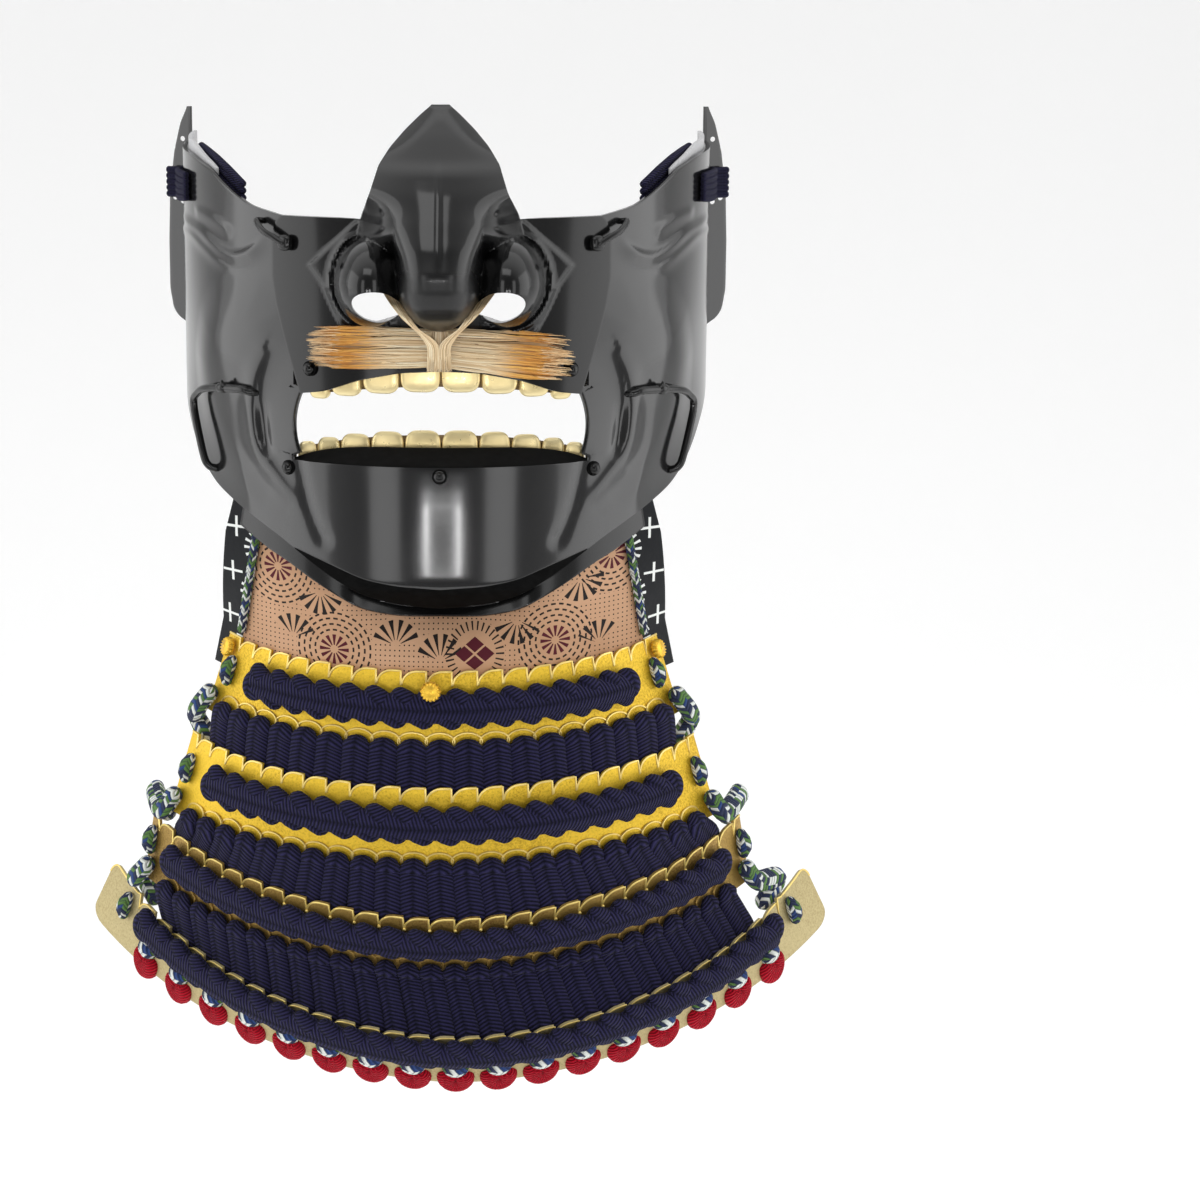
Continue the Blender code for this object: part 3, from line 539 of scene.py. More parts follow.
def lame_frame(index, s):
    """Top point, tangent, plan normal, down direction and face normal of a lame, at s from -1 to 1."""
    lame = LAMES[index]
    arc = math.radians(lame["arc"])
    angle = s * arc
    deep = lame["deep"] / (1 - math.cos(arc))
    wide = lame["half"] / math.sin(arc)
    top = np.array([wide * math.sin(angle) + lame["shift"], lame["front"] + deep * (1 - math.cos(angle)),
                    lame["top"] + lame["rise"] * abs(s) ** RISE_POWER])
    ahead = np.array([wide * math.cos(angle), deep * math.sin(angle), 0.0])
    ahead[2] = RISE_POWER * lame["rise"] * math.copysign(abs(s) ** (RISE_POWER - 1), s) / arc
    tangent = unit(ahead)
    outward = unit(np.array([ahead[1], -ahead[0], 0.0]))
    tilt = math.radians(lame["tilt"] + (lame["tilt_end"] - lame["tilt"]) * s * s)
    fan = math.radians(lame["fan"]) * s
    down = unit(np.array([0, 0, -math.cos(tilt)]) - outward * math.sin(tilt) + tangent * math.sin(fan))
    face = unit(np.cross(down, tangent))
    if np.dot(face, outward) < 0:
        face = -face
    return top, tangent, outward, down, face


def lame_point(index, s, down=0.0, out=0.0):
    top, _, _, downward, face = lame_frame(index, s)
    return top + downward * down + face * out


# Finishes

class Value:
    """A number in a shader, to reckon with as if it were a plain one."""

    def __init__(self, shader, socket):
        self.shader, self.socket = shader, socket

    def __add__(self, other):
        return self.shader.math("ADD", self, other)

    def __sub__(self, other):
        return self.shader.math("SUBTRACT", self, other)

    def __rsub__(self, other):
        return self.shader.math("SUBTRACT", other, self)

    def __mul__(self, other):
        return self.shader.math("MULTIPLY", self, other)

    def __truediv__(self, other):
        return self.shader.math("DIVIDE", self, other)

    def __lt__(self, other):
        return self.shader.math("LESS_THAN", self, other)

    def __abs__(self):
        return self.shader.math("ABSOLUTE", self)

    def ping_pong(self, scale):
        return self.shader.math("PINGPONG", self, scale)


class Shader:
    """One material's node tree, with short ways to add nodes to it."""

    def __init__(self, name, colour, rough, metal=0.0):
        self.material = bpy.data.materials.new(name)
        self.material.use_nodes = True
        self.material.diffuse_color = (*colour, 1)
        self.tree = self.material.node_tree
        self.surface = self.tree.nodes["Principled BSDF"]
        self.fix({"Base Color": (*colour, 1), "Roughness": rough, "Metallic": metal})

    def fix(self, values):
        """Sets sockets of the surface to constants."""
        for name, value in values.items():
            self.surface.inputs[name].default_value = value

    def feed(self, socket, value):
        if isinstance(value, Value):
            self.tree.links.new(value.socket, socket)
        else:
            socket.default_value = value

    def math(self, operation, *values):
        made = self.tree.nodes.new("ShaderNodeMath")
        made.operation = operation
        for socket, value in zip(made.inputs, values):
            self.feed(socket, value)
        return Value(self, made.outputs[0])

    def place(self, kind="Object"):
        return Value(self, self.tree.nodes.new("ShaderNodeTexCoord").outputs[kind])

    def split(self, kind="Object"):
        """The three numbers of the place on the piece, in metres, or of its UV."""
        made = self.tree.nodes.new("ShaderNodeSeparateXYZ")
        self.feed(made.inputs[0], self.place(kind))
        return [Value(self, socket) for socket in made.outputs]

    def noise(self, scale, detail=3.0, rough=0.5):
        made = self.tree.nodes.new("ShaderNodeTexNoise")
        self.feed(made.inputs["Vector"], self.place())
        for name, value in (("Scale", scale), ("Detail", detail), ("Roughness", rough)):
            self.feed(made.inputs[name], value)
        return Value(self, made.outputs["Fac"])

    def ramp(self, value, *stops, hard=False):
        """Colours or greys between stops; hard ones change at once."""
        made = self.tree.nodes.new("ShaderNodeValToRGB")
        self.feed(made.inputs[0], value)
        if hard:
            made.color_ramp.interpolation = "CONSTANT"
        points = made.color_ramp.elements
        while len(points) < len(stops):
            points.new(1.0)
        for point, (place, colour) in zip(points, stops):
            point.position = place
            point.color = (*colour, 1) if isinstance(colour, tuple) else (colour, colour, colour, 1)
        return Value(self, made.outputs[0])

    def mix(self, share, first, second):
        made = self.tree.nodes.new("ShaderNodeMix")
        made.data_type = "RGBA"
        self.feed(made.inputs[0], share)
        for socket, value in ((made.inputs[6], first), (made.inputs[7], second)):
            self.feed(socket, value if isinstance(value, Value) else (*value, 1))
        return Value(self, made.outputs[2])

    def colour(self, value):
        self.feed(self.surface.inputs["Base Color"], value)

    def rough(self, value):
        self.feed(self.surface.inputs["Roughness"], value)

    def bump(self, height, strength, distance):
        made = self.tree.nodes.new("ShaderNodeBump")
        for name, value in (("Strength", strength), ("Distance", distance), ("Height", height)):
            self.feed(made.inputs[name], value)
        self.feed(self.surface.inputs["Normal"], Value(self, made.outputs[0]))


def lacquer(name, grey, rough, gloss=1.62, worn_tip=0.0):
    """Black lacquer: a deep gloss with a little dust, and duller where the tip of a nose is worn."""
    shader = Shader(name, (grey, grey, grey * 1.06), rough)
    shader.fix({"IOR": gloss, "Coat Weight": 0.1, "Coat Roughness": 0.08})
    polish = shader.ramp(shader.noise(28, 2), (0.3, rough * 0.85), (0.7, rough * 1.15))
    if worn_tip:
        # Dullest within 10 mm of the middle and below 82 mm, and gone 14 mm out or above 92 mm
        across, _, level = shader.split()
        beside = shader.ramp(abs(across) * 50.0, (0.5, 1.0), (0.7, 0.0))
        low = shader.ramp(level * 10.0, (0.82, 1.0), (0.92, 0.0))
        polish = polish + beside * low * worn_tip
    shader.rough(polish)
    dust = shader.noise(900, 2)
    shader.colour(shader.ramp(dust, (0.55, (grey, grey, grey * 1.06)), (0.9, (grey * 1.7,) * 3)))
    shader.bump(shader.noise(16, 1), 0.05, 0.0006)
    return shader.material


def painted_shade_material(name, grey):
    """Black that mirrors nothing: painted shade on the ledge of the lower lip, on the fold under the chin and
    round the rivet heads.
    """
    shader = Shader(name, (grey,) * 3, 0.7)
    shader.fix({"Specular IOR Level": 0.05})
    shader.colour(shader.ramp(shader.noise(400, 2), (0.4, grey), (0.7, grey * 2)))
    return shader.material


def lighter(colour, factor=1.12):
    return tuple(min(1.0, part * factor) for part in colour)


def gilt(name, bright, dull, rough, grain):
    """Gold leaf over a grainy ground."""
    shader = Shader(name, bright, rough, 0.55)
    fine = shader.noise(1400, 4, 0.7)
    specks = shader.noise(22, 3) * 0.35 + fine * 0.65
    shader.colour(shader.ramp(specks, (0.36, dull), (0.5, bright), (0.66, lighter(bright))))
    shader.rough(shader.ramp(fine, (0.3, rough + 0.12), (0.7, rough - 0.06)))
    shader.bump(fine, 0.35 * grain, 0.0004)
    return shader.material


def braid(name, dark, light, pitch):
    """A braided cord with V-shaped stitches, painted lighter on their crowns and darker in the grooves, over
    a UV that is 0..1 round and millimetres along.
    """
    shader = Shader(name, light, 0.85)
    shader.fix({"Specular IOR Level": 0.12, "Sheen Weight": 0.04, "Sheen Roughness": 0.5})
    round_it, length, _ = shader.split("UV")
    turned = round_it * 4.0
    slant = length / pitch + turned.ping_pong(1.0) * 1.9
    crown = slant.ping_pong(0.5) * 2.0
    groove = shader.math("MINIMUM", turned.ping_pong(0.5) * 5.0, 1.0)
    height = crown * (groove * 0.6 + 0.4)
    # Painted highlight and painted shade: lighter on the crowns of the stitches, darker in the grooves
    # between them
    tone = height * 0.65 + shader.noise(1800, 2) * 0.35
    shader.colour(shader.ramp(tone, (0.22, dark), (0.8, light)))
    shader.bump(height, 0.9, 0.0006)
    return shader.material


def speckled(name, pitch):
    """A braid of white, green and blue threads."""
    shader = Shader(name, (0.4, 0.5, 0.4), 0.8)
    round_it, length, _ = shader.split("UV")
    turned = round_it * 8.0
    slant = length / pitch + turned.ping_pong(1.0)
    crown = slant.ping_pong(0.5) * 2.0
    cell = shader.tree.nodes.new("ShaderNodeCombineXYZ")
    for socket, value in zip(cell.inputs, (turned, slant)):
        shader.feed(socket, shader.math("FLOOR", value))
    pick = shader.tree.nodes.new("ShaderNodeTexWhiteNoise")
    pick.noise_dimensions = "2D"
    shader.feed(pick.inputs["Vector"], Value(shader, cell.outputs[0]))
    threads = shader.ramp(Value(shader, pick.outputs["Value"]), (0.0, (0.012, 0.022, 0.075)),
                          (0.34, (0.10, 0.22, 0.05)), (0.56, (0.80, 0.84, 0.80)), (0.86, (0.015, 0.05, 0.20)),
                          hard=True)
    # Painted shade: dark in the grooves between the crowns of the threads
    groove_shade = shader.ramp(crown, (0.0, 0.25), (0.45, 1.0))
    shader.colour(shader.mix(groove_shade, (0.01, 0.015, 0.03), threads))
    shader.bump(crown, 0.9, 0.0006)
    return shader.material


def hair():
    """Pale hair, orange towards the ends of the moustache; each strand keeps its own tone in its UV."""
    shader = Shader("moustache hair", (0.7, 0.48, 0.27), 0.45)
    shader.fix({"Sheen Weight": 0.1})
    tone, _, _ = shader.split("UV")
    across, _, _ = shader.split()
    end = abs(across) * (1000.0 / 38.0) + tone * 0.22
    orange = shader.ramp(end, (0.56, 0.0), (0.78, 1.0), (0.98, 1.0), (1.12, 0.4))
    pale = shader.ramp(tone, (0.0, (0.24, 0.13, 0.05)), (0.16, (0.66, 0.46, 0.24)), (0.6, (0.86, 0.69, 0.43)),
                       (1.0, (0.95, 0.85, 0.62)))
    warm = shader.ramp(tone, (0.0, (0.26, 0.09, 0.01)), (0.4, (0.66, 0.27, 0.025)), (1.0, (0.88, 0.50, 0.10)))
    shader.colour(shader.mix(orange, pale, warm))
    return shader.material


def plain(name, colour, rough, metal=0.0, grain=300):
    """A simple finish with a fine grain."""
    shader = Shader(name, colour, rough, metal)
    cloud = shader.noise(grain, 3)
    shader.colour(shader.ramp(cloud, (0.3, lighter(colour, 0.78)), (0.7, lighter(colour))))
    shader.bump(cloud, 0.2, 0.0004)
    return shader.material


def tooth_gilt():
    """Pale gold of the teeth, with painted shade that deepens it towards the gum, where the teeth go in
    behind the plate.
    """
    shader = Shader("tooth gilt", (0.85, 0.70, 0.36), 0.3, 0.6)
    _, gum, _ = shader.split("UV")
    # Painted shade: paler at the free edge, darker gold towards the gum and nearly black at it
    shader.colour(shader.ramp(gum, (0.05, (0.95, 0.83, 0.50)), (0.6, (0.84, 0.66, 0.30)),
                              (0.97, (0.10, 0.06, 0.02))))
    shader.rough(shader.ramp(shader.noise(500, 3), (0.3, 0.38), (0.7, 0.26)))
    shader.bump(shader.noise(300, 3), 0.15, 0.0003)
    return shader.material


# Mask

def cheek_relief(turn, z):
    """How far the mask's face stands out from its plain curve."""
    turn = np.abs(turn)

    def near(route):
        return line_distance(turn, z, [tuple(point) for point in catmull(route, 5)], DEGREE)

    def ridge(signed, gentle, steep):
        return np.exp(-(np.where(signed > 0, signed / gentle, signed / steep)) ** 2)

    height = 1.2 * plateau(turn, z, CHEEK_BULGE, 18.0, DEGREE)
    distance, side, place = near(NASO_RIDGE)
    fade = np.sin(np.pi * np.clip(0.1 + 0.85 * place, 0, 1))
    height = height + fade * 1.5 * ridge(distance * side, 4.6, 2.0)
    distance, _, place = near(NASO_GROOVE)
    height = height - np.sin(np.pi * place.clip(0.02, 0.98)) * 0.8 * np.exp(-(distance / 1.8) ** 2)
    for route, raised, wide in WRINKLES:
        distance, side, place = near(route)
        fade = np.minimum(smooth_step(place, 0.0, 0.2), smooth_step(place, 1.0, 0.8))
        height = height + fade * raised * ridge(distance * side, wide, 1.1)
    distance, side, place = near(CHIN_CREASE)
    height = height - 0.7 * np.exp(-(distance / 2.2) ** 2) * smooth_step(place, 1.0, 0.8)
    return height


def mask_plate(look, painted_shade_look):
    """Cheeks, jaw and chin from one plate, with the ledge of the lower lip and the fold under the chin made
    as a piece of their own in painted shade.
    """
    mouth, notch = float(turn_at(MOUTH_HALF)), float(turn_at(NOTCH_HALF))
    half = np.concatenate([np.linspace(0, notch, 30), np.linspace(notch, mouth, 5)[1:],
                           np.linspace(mouth, BEND_TURN, 112)[1:]])
    columns = np.concatenate([-half[:0:-1], half])
    rows = np.concatenate([np.linspace(0, 1, 50), 1 + np.linspace(0, 1, 9)[1:],
                           2 + np.linspace(0, 1, 96)[1:]])

    def place(column, row):
        side = np.where(column < 0, -1.0, 1.0)
        turn = np.abs(column)
        beyond = np.maximum(turn - mouth, 0)
        bottom, top = eased(JAW_LINE, turn), eased(BROW_LINE, turn)
        lip = LIP_Z + beyond / (BEND_TURN - mouth) * LIP_RISE
        fold = 0.15 + CHIN_FOLD * np.maximum(1 - (turn / FOLD_TURN) ** 2, 0)
        ledge = ledge_back(turn)
        step = 0.7 + 3.6 * ledge / LEDGE_DEPTH + beyond * 0.06
        z = bottom + np.interp(row, [0, FOLD_ROW], [0, 1]) * fold
        z = z + np.interp(row, [FOLD_ROW, 1], [0, 1]) * (lip - bottom - fold)
        z = z + np.clip(row - 1, 0, 1) * step
        z = z + np.clip(row - 2, 0, 1) * (top - lip - step)
        corner = np.where((z > 26) & (z < 47), 2.7 * ((z - 35) / 11) ** 2, 0) * np.clip(1 - beyond / 9, 0, 1)
        turn = np.where(turn >= mouth - 0.01, turn - (mouth - turn_at(MOUTH_HALF - corner)), turn)
        flat = shell_point(turn, z, cheek_relief(turn, z) * np.clip((z + 30) / 20, 0, 1))
        flat[:, 0] *= side
        flat[:, 1] += ledge * np.clip(row - 1, 0, 1)
        return flat

    # Faces of the ledge and of the fold under the chin are dull: they take painted shade, the rest the glossy
    # lacquer
    def kind(column, row, z):
        last = max(abs(columns[column]), abs(columns[column + 1]))
        if rows[row + 1] <= 1:
            return "dull" if rows[row + 1] <= FOLD_ROW + 1e-6 and last < FOLD_TURN else "glossy"
        if rows[row + 1] <= 2:
            return "dull" if last <= mouth + 1e-6 else "glossy"
        return "open" if last <= notch + 1e-6 or (last <= mouth + 1e-6 and z < MOUTH_TOP) else "glossy"

    for name, wanted, finish_look in (("mask_plate", "glossy", look), ("mask_shade", "dull", painted_shade_look)):
        piece = grid(name, columns, rows, place)
        drop_faces(piece, len(columns), lambda column, row, z: kind(column, row, z) != wanted)
        face_outward(piece, (0, -1, 0.4))
        wall(piece, PLATE)
        finish(piece, finish_look, ["mask_shell"])


def ear_strip(side, look):
    """The strip bent back before the ear, pointed above and round below, with its lacing holes."""
    def place(column, row):
        z = row
        inner = shell_point(np.full_like(z, BEND_TURN), np.minimum(z, SHELL_TOP))
        inner[:, 2] = z
        reach = np.maximum(eased(EAR_EDGE, z) - inner[:, 0], 0.05) * column
        point = inner + np.stack([reach, EAR_LEAN * reach, 0 * z], axis=-1)
        point[:, 0] *= side
        return point

    rows = np.linspace(EAR_BOTTOM, EAR_TOP, 74)
    piece = grid(f"ear_strip_{SIDE_NAMES[side]}", np.linspace(0, 1, 9), rows, place)
    face_outward(piece, (side * 0.3, -1, 0))
    thicken(piece, PLATE)
    for x, z in EAR_HOLES:
        centre = shell_point(BEND_TURN, min(z, SHELL_TOP)) + (x - BEND_X) * np.array([1, EAR_LEAN, 0])
        pierce(piece, peg(16, EAR_HOLE_RADIUS, 12, (side * centre[0], centre[1], z)))
    soften(piece, 0.3)
    return finish(piece, look, ["mask_shell"])


def throat_rim(look):
    """The dark turned rim below the jaw."""
    def place(column, row):
        turn = np.abs(column)
        jaw = eased(JAW_LINE, turn)
        lift = np.interp(row, [0, 1, 2], [5.0, -2.0, -RIM_DROP])
        out = np.interp(row, [0, 1, 2], [0.0, 0.0, 1.4])
        drop = np.where(lift > 0, 1.0, 0.35 + 0.65 * np.minimum(turn / 40, 1))
        z = jaw + lift * drop
        point = shell_point(column, np.maximum(z, jaw), out - RIM_SEAT)
        point[:, 2] = z
        point[:, 1] += np.where(lift < 0, 1.5 * (1 - np.minimum(turn / 30, 1)) * np.minimum(-lift / 2, 1), 0)
        return point

    piece = grid("throat_rim_band", np.linspace(-50, 50, 121), np.linspace(0, 2, 15), place)
    face_outward(piece, (0, -1, 0))
    wall(piece, RIM_PLATE, 0.3)
    return finish(piece, look, ["throat_rim"])


def nose_front(x, z):
    """How far forward the nose plate's face stands at (x, z)."""
    side = np.abs(x)
    above = smooth_step(z, 90, 104) * smooth_step(side, 27, 22)
    base = plate_point(x, np.minimum(z, PLATE_TOP))[..., 1] * (1 - above) + eased(NOSE_BACK, z) * above
    base = base - 1.0 * plateau(side, z, KITE, 0.9)
    half, ridge = eased(NOSE_HALF, z), eased(NOSE_RIDGE, z)
    tall = np.maximum(base - ridge, 0)
    t = np.clip(side / half, 0, 1)
    front_band = 1 - 0.3 * t * t
    free = smooth_step(z, PLATE_TOP, PLATE_TOP + 20)
    flank = np.maximum(1 - t, 0.001) * 2.0 * (1 - free) + 2.0 * free
    body = tall * (front_band ** -6 + flank ** -6) ** (-1 / 6)
    body = np.where(z < PLATE_TOP, body * smooth_step(side, 33, 24), body)
    below = np.maximum(TIP["z"] - z, 0) / TIP["high"]
    wide = TIP["wide"] * np.sqrt(np.maximum(1 - below * below, 0.0025))
    ball = tall * front_band * np.maximum(1 - (side / wide) ** 4, 0) ** 0.45 * smooth_step(z, 64, 67)
    across, up = (side - FLARE["x"]) / FLARE["wide"], (z - FLARE["z"]) / FLARE["high"]
    flare = (base - FLARE["front"]) * np.maximum(1 - across ** 2 - up ** 2, 0) ** 0.42
    share = smooth_step(z, 82, 100)
    raised = [np.maximum(part, 0.01) ** 14 for part in (body * share + ball * (1 - share), flare)]
    height = sum(raised) ** (1 / 14)
    ring = np.hypot(across, up)
    rim = np.exp(-((ring - 1.12) / 0.06) ** 2) * smooth_step(side, 17, 23) * smooth_step(z, 62, 67)
    height = height + 1.1 * rim * smooth_step(z, 97, 92)
    roll_edge = 2.4 * np.exp(-((z - 64.2 + 0.0022 * x * x) / 2.0) ** 2) * smooth_step(side, 29, 24)
    height = np.maximum(height, roll_edge)
    line = 0.35 * np.exp(-(x / 0.9) ** 2) * smooth_step(z, 84, 92) * smooth_step(z, 118, 113)
    top_outline = [(half_width, level) for level, half_width in NOSE_HALF[-7:]] + [(0, NOSE_TOP)]
    outline, _, _ = line_distance(side, z, top_outline)
    bevel = 2.4 * np.maximum(1 - outline / 5.0, 0) ** 1.5 * smooth_step(z, 117, 125)
    return base - height - line + bevel


def nose_plate(look):
    """The removable front plate with the nose."""
    columns = np.concatenate([-1 - np.linspace(1, 0, 34)[:-1], np.linspace(-1, 1, 117),
                              1 + np.linspace(0, 1, 34)[1:]])
    rows = np.concatenate([np.linspace(0, 1, 116), 1 + np.linspace(0, 1, 60)[1:]])

    def place(column, row):
        level = np.where(row <= 1, 45 + row * (PLATE_TOP - 45),
                         PLATE_TOP + (row - 1) * (NOSE_TOP - PLATE_TOP))
        inner = np.where(level < 90, 27.0, eased(NOSE_HALF, level) + 2.0 * smooth_step(level, 99, 92))
        outer = eased(PLATE_EDGE, np.minimum(level, PLATE_TOP))
        side = np.abs(column)
        x = np.where(side <= 1, side * inner, inner + (side - 1) * (outer - inner))
        z = np.where(row <= 1, eased(PLATE_BOTTOM, x) * (1 - row) + PLATE_TOP * row, level)
        x = x * np.sign(column)
        y = nose_front(x, z)
        return np.stack([x, y, z], axis=-1)

    piece = grid("nose_front_plate", columns, rows, place)
    drop_faces(piece, len(columns), lambda column, row, z: rows[row] >= 1 and max(
        abs(columns[column]), abs(columns[column + 1])) > 1 + 1e-6)
    face_outward(piece, (0, -1, 0))
    thicken(piece, PLATE)
    for side in SIDES:
        cutter = peg(40, 1, 60)
        lean = math.radians(NOSTRIL["lean"]) * side
        for corner in cutter.data.vertices:
            x, y, z = corner.co
            taper = 1 - 0.45 * smooth_step(-x * side, 0.0, 1.0)
            x, z = x * NOSTRIL["half"], z * NOSTRIL["high"] * taper
            corner.co = (side * NOSTRIL["x"] + x * math.cos(lean) - z * math.sin(lean), y - 5,
                         NOSTRIL["z"] + x * math.sin(lean) + z * math.cos(lean))
        pierce(piece, cutter)
    soften(piece, 0.35, 62)
    return finish(piece, look, ["nose_plate"])


def lump(name, centre, axes, power=1.0, segments=20, rings=14, shape_it=None):
    """A closed rounded body of three half axes; its UV is 0..1 round and millimetres along the third."""
    deselect()
    bpy.ops.mesh.primitive_uv_sphere_add(segments=segments, ring_count=rings, radius=1)
    piece = bpy.context.object
    piece.name = name
    axes = [np.array(axis, float) for axis in axes]
    for corner in piece.data.vertices:
        local = np.array(corner.co)
        if power != 1.0:
            local = np.sign(local) * np.abs(local) ** power
        if shape_it:
            local = shape_it(local)
        corner.co = Vector(np.array(centre) + sum(axis * share for axis, share in zip(axes, local)))
    long = 2 * np.linalg.norm(axes[2])
    for loop in piece.data.uv_layers[0].data:
        loop.uv = (loop.uv[0], loop.uv[1] * long)
    return piece


def teeth(name, edges, bottom, top, front, look, swell):
    """A row of teeth, rounded blocks between the edges on a dark strip of gum in painted shade; swell is 1
    for the upper row.
    """
    pieces = []
    for start, end in zip(edges, edges[1:]):
        x = 0.5 * (start + end)
        low, high = bottom(x), top(x)
        slope = (front(x + 1.0) - front(x - 1.0)) / 2.0
        across = unit(np.array([1.0, slope, 0.0]))
        out = unit(np.array([slope, -1.0, 0.0]))
        centre = np.array([x, front(x) + 0.5 * TOOTH_DEEP, 0.5 * (low + high)])

        def rounding(local):
            a, b, c = local
            free = -c * swell
            narrow = 1 - 0.12 * max(free, 0) ** 3 - 0.05 * max(-free, 0)
            return np.array([a * narrow, b * (1 - 0.3 * max(free, 0) ** 2), c])

        axes = (across * 0.5 * (end - start) * 0.985, out * 0.5 * TOOTH_DEEP * 1.25,
                np.array([0, 0, 0.5 * (high - low)]))
        piece = lump(name, centre, axes, power=0.5, segments=28, rings=20, shape_it=rounding)
        for loop in piece.data.uv_layers[0].data:
            v = loop.uv[1] / (high - low)
            loop.uv = (loop.uv[0], v if swell > 0 else 1 - v)
        pieces.append(piece)

    def gum(column, row):
        low = np.array([bottom(x) + (1.6 if swell > 0 else 0.2) for x in column])
        high = np.array([top(x) - (0.2 if swell > 0 else 1.6) for x in column])
        y = np.array([front(x) + 0.6 * TOOTH_DEEP for x in column])
        return np.stack([column, y, low + (high - low) * row], axis=-1)

    strip = grid(name, np.linspace(edges[0] + 1.5, edges[-1] - 1.5, 61), np.linspace(0, 1, 5), gum)
    face_outward(strip, (0, -1, 0))
    wall(strip, 0.7, 0)
    # The gum takes the darkest end of the tooth gilt: painted shade in the mouth behind the teeth
    for loop in strip.data.uv_layers[0].data:
        loop.uv = (0.5, 1.0)
    return finish(join([*pieces, strip], f"{name}_row"), look, [name])


def mouth_teeth(look):
    """The two rows, behind the front plate and behind the ledge of the lower lip."""
    def upper_front(x):
        return float(plate_point(x, 52.0)[1]) + PLATE + 1.0

    def lower_front(x):
        return float(shell_point(turn_at(x), 31.0)[1] + ledge_back(turn_at(x))) + PLATE + 0.7

    teeth("upper_teeth", UPPER_EDGES, lambda x: MOUTH_TOP - 3.9 * (x / UPPER_HALF) ** 2,
          lambda x: 59.0 - 10.5 * (x / UPPER_HALF) ** 2, upper_front, look, 1)
    teeth("lower_teeth", LOWER_EDGES, lambda x: 21.6 - 3.4 * (x / LOWER_HALF) ** 2,
          lambda x: 33.2 - 4.4 * (x / LOWER_HALF) ** 2, lower_front, look, -1)


# Moustache

def strands(name, routes, radius):
    """Many fine hairs as slim three-sided tubes; each keeps a tone of its own in its UV."""
    shape = bmesh.new()
    tone_uv = shape.loops.layers.uv.new("UVMap")
    for route in routes:
        tone = CHANCE.random()
        slim = radius * CHANCE.uniform(0.75, 1.25)
        rings = []
        for index, point in enumerate(route):
            ahead = unit(route[min(index + 1, len(route) - 1)] - route[max(index - 1, 0)])
            across = unit(np.cross(ahead, (0.03, -1, 0.05)))
            beside = np.cross(across, ahead)
            share = (1.0, 1.0, 1.0, 0.95, 0.8, 0.25)[min(5, int(6 * index / len(route)))]
            rings.append([shape.verts.new(point + slim * share * (across * math.cos(turn)
                                                                  + beside * math.sin(turn)))
                          for turn in (0.5, 2.6, 4.7)])
        faces = [shape.faces.new([first[k], first[(k + 1) % 3], second[(k + 1) % 3], second[k]])
                 for first, second in zip(rings, rings[1:]) for k in range(3)]
        faces += [shape.faces.new(list(reversed(rings[0]))), shape.faces.new(rings[-1])]
        for face in faces:
            for loop in face.loops:
                loop[tone_uv].uv = (tone, 0.0)
    return piece_from(shape, name)


def moustache_seat(x, z):
    return plate_point(x, z, GAP + 0.4)


def moustache(look, shade_look):
    """A flat brush of fine hair across the upper lip, and the tufts that tie it up through the nostrils."""
    routes = []
    for side in SIDES:
        for clump in range(HAIR_CLUMPS):
            level, depth = CHANCE.uniform(-1, 1), CHANCE.random() ** 0.7
            reach = HAIR_REACH * (1 - 0.22 * CHANCE.random() ** 2) - 2.2 * abs(level) ** 3
            drift, curl = CHANCE.uniform(-1.3, 1.3), CHANCE.uniform(-0.5, 0.5)
            thick = 1.5 + 1.3 * math.sqrt(max(1 - 0.9 * level * level, 0.05))
            for strand in range(HAIRS_IN_CLUMP):
                offset, short = CHANCE.uniform(-0.7, 0.7), CHANCE.uniform(0.84, 1.0)
                beside = CHANCE.uniform(0, 0.5)
                route = []
                for step in range(7):
                    s = step / 6
                    x = side * (1.0 + (reach * short - 1.0) * s)
                    share = abs(x) / 38.0
                    droop = (-3.4 if side > 0 else 0.1) * share - 1.0 * share ** 2
                    tall = HAIR_HALF + 0.9 * math.sin(math.pi * min(share * 0.8, 1))
                    z = HAIR_LEVEL + droop + level * tall + drift * s ** 2 + curl * math.sin(6 * s)
                    z += offset * (1 - 0.7 * s)
                    route.append(moustache_seat(x, z) + (0, -0.4 - thick * depth - beside, 0))
                routes.append(route)
    brush = strands("moustache_brush", routes, HAIR_RADIUS)
    finish(brush, look, ["moustache"], sharp=60)
    # A darker tube under the brush: painted shade between the hairs
    middle = [moustache_seat(x, 60.6 - 0.068 * max(x, 0) - 0.0007 * x * x) + (0, -1.2, 0)
              for x in np.linspace(-31, 31, 13)]
    core = tube("moustache_shade_core", middle, 5.4, 1.0, sides=14)
    finish(core, shade_look, ["moustache"])
    routes = []
    for side in SIDES:
        for strand in range(ARM_HAIRS):
            spread, depth = CHANCE.uniform(-1, 1), CHANCE.random()
            knots = [[side * (x + wide * spread), y - deep * depth, z + high * spread]
                     for x, wide, y, deep, z, high in ARM_ROUTE]
            knots[-1][2] += CHANCE.uniform(-0.8, 0.8)
            routes.append(catmull(knots, 2))
    for strand in range(BAND_HAIRS):
        x, depth = CHANCE.uniform(-BAND_HALF, BAND_HALF), CHANCE.random()
        knots = [[x * wide, y - deep * depth, z] for wide, y, deep, z in BAND_ROUTE]
        knots[-1][2] += CHANCE.uniform(-0.8, 0.8)
        routes.append(catmull(knots, 3))
    tuft = strands("moustache_tuft", routes, TIE_HAIR_RADIUS)
    return finish(tuft, look, ["moustache_tie"], sharp=60)


# Hardware

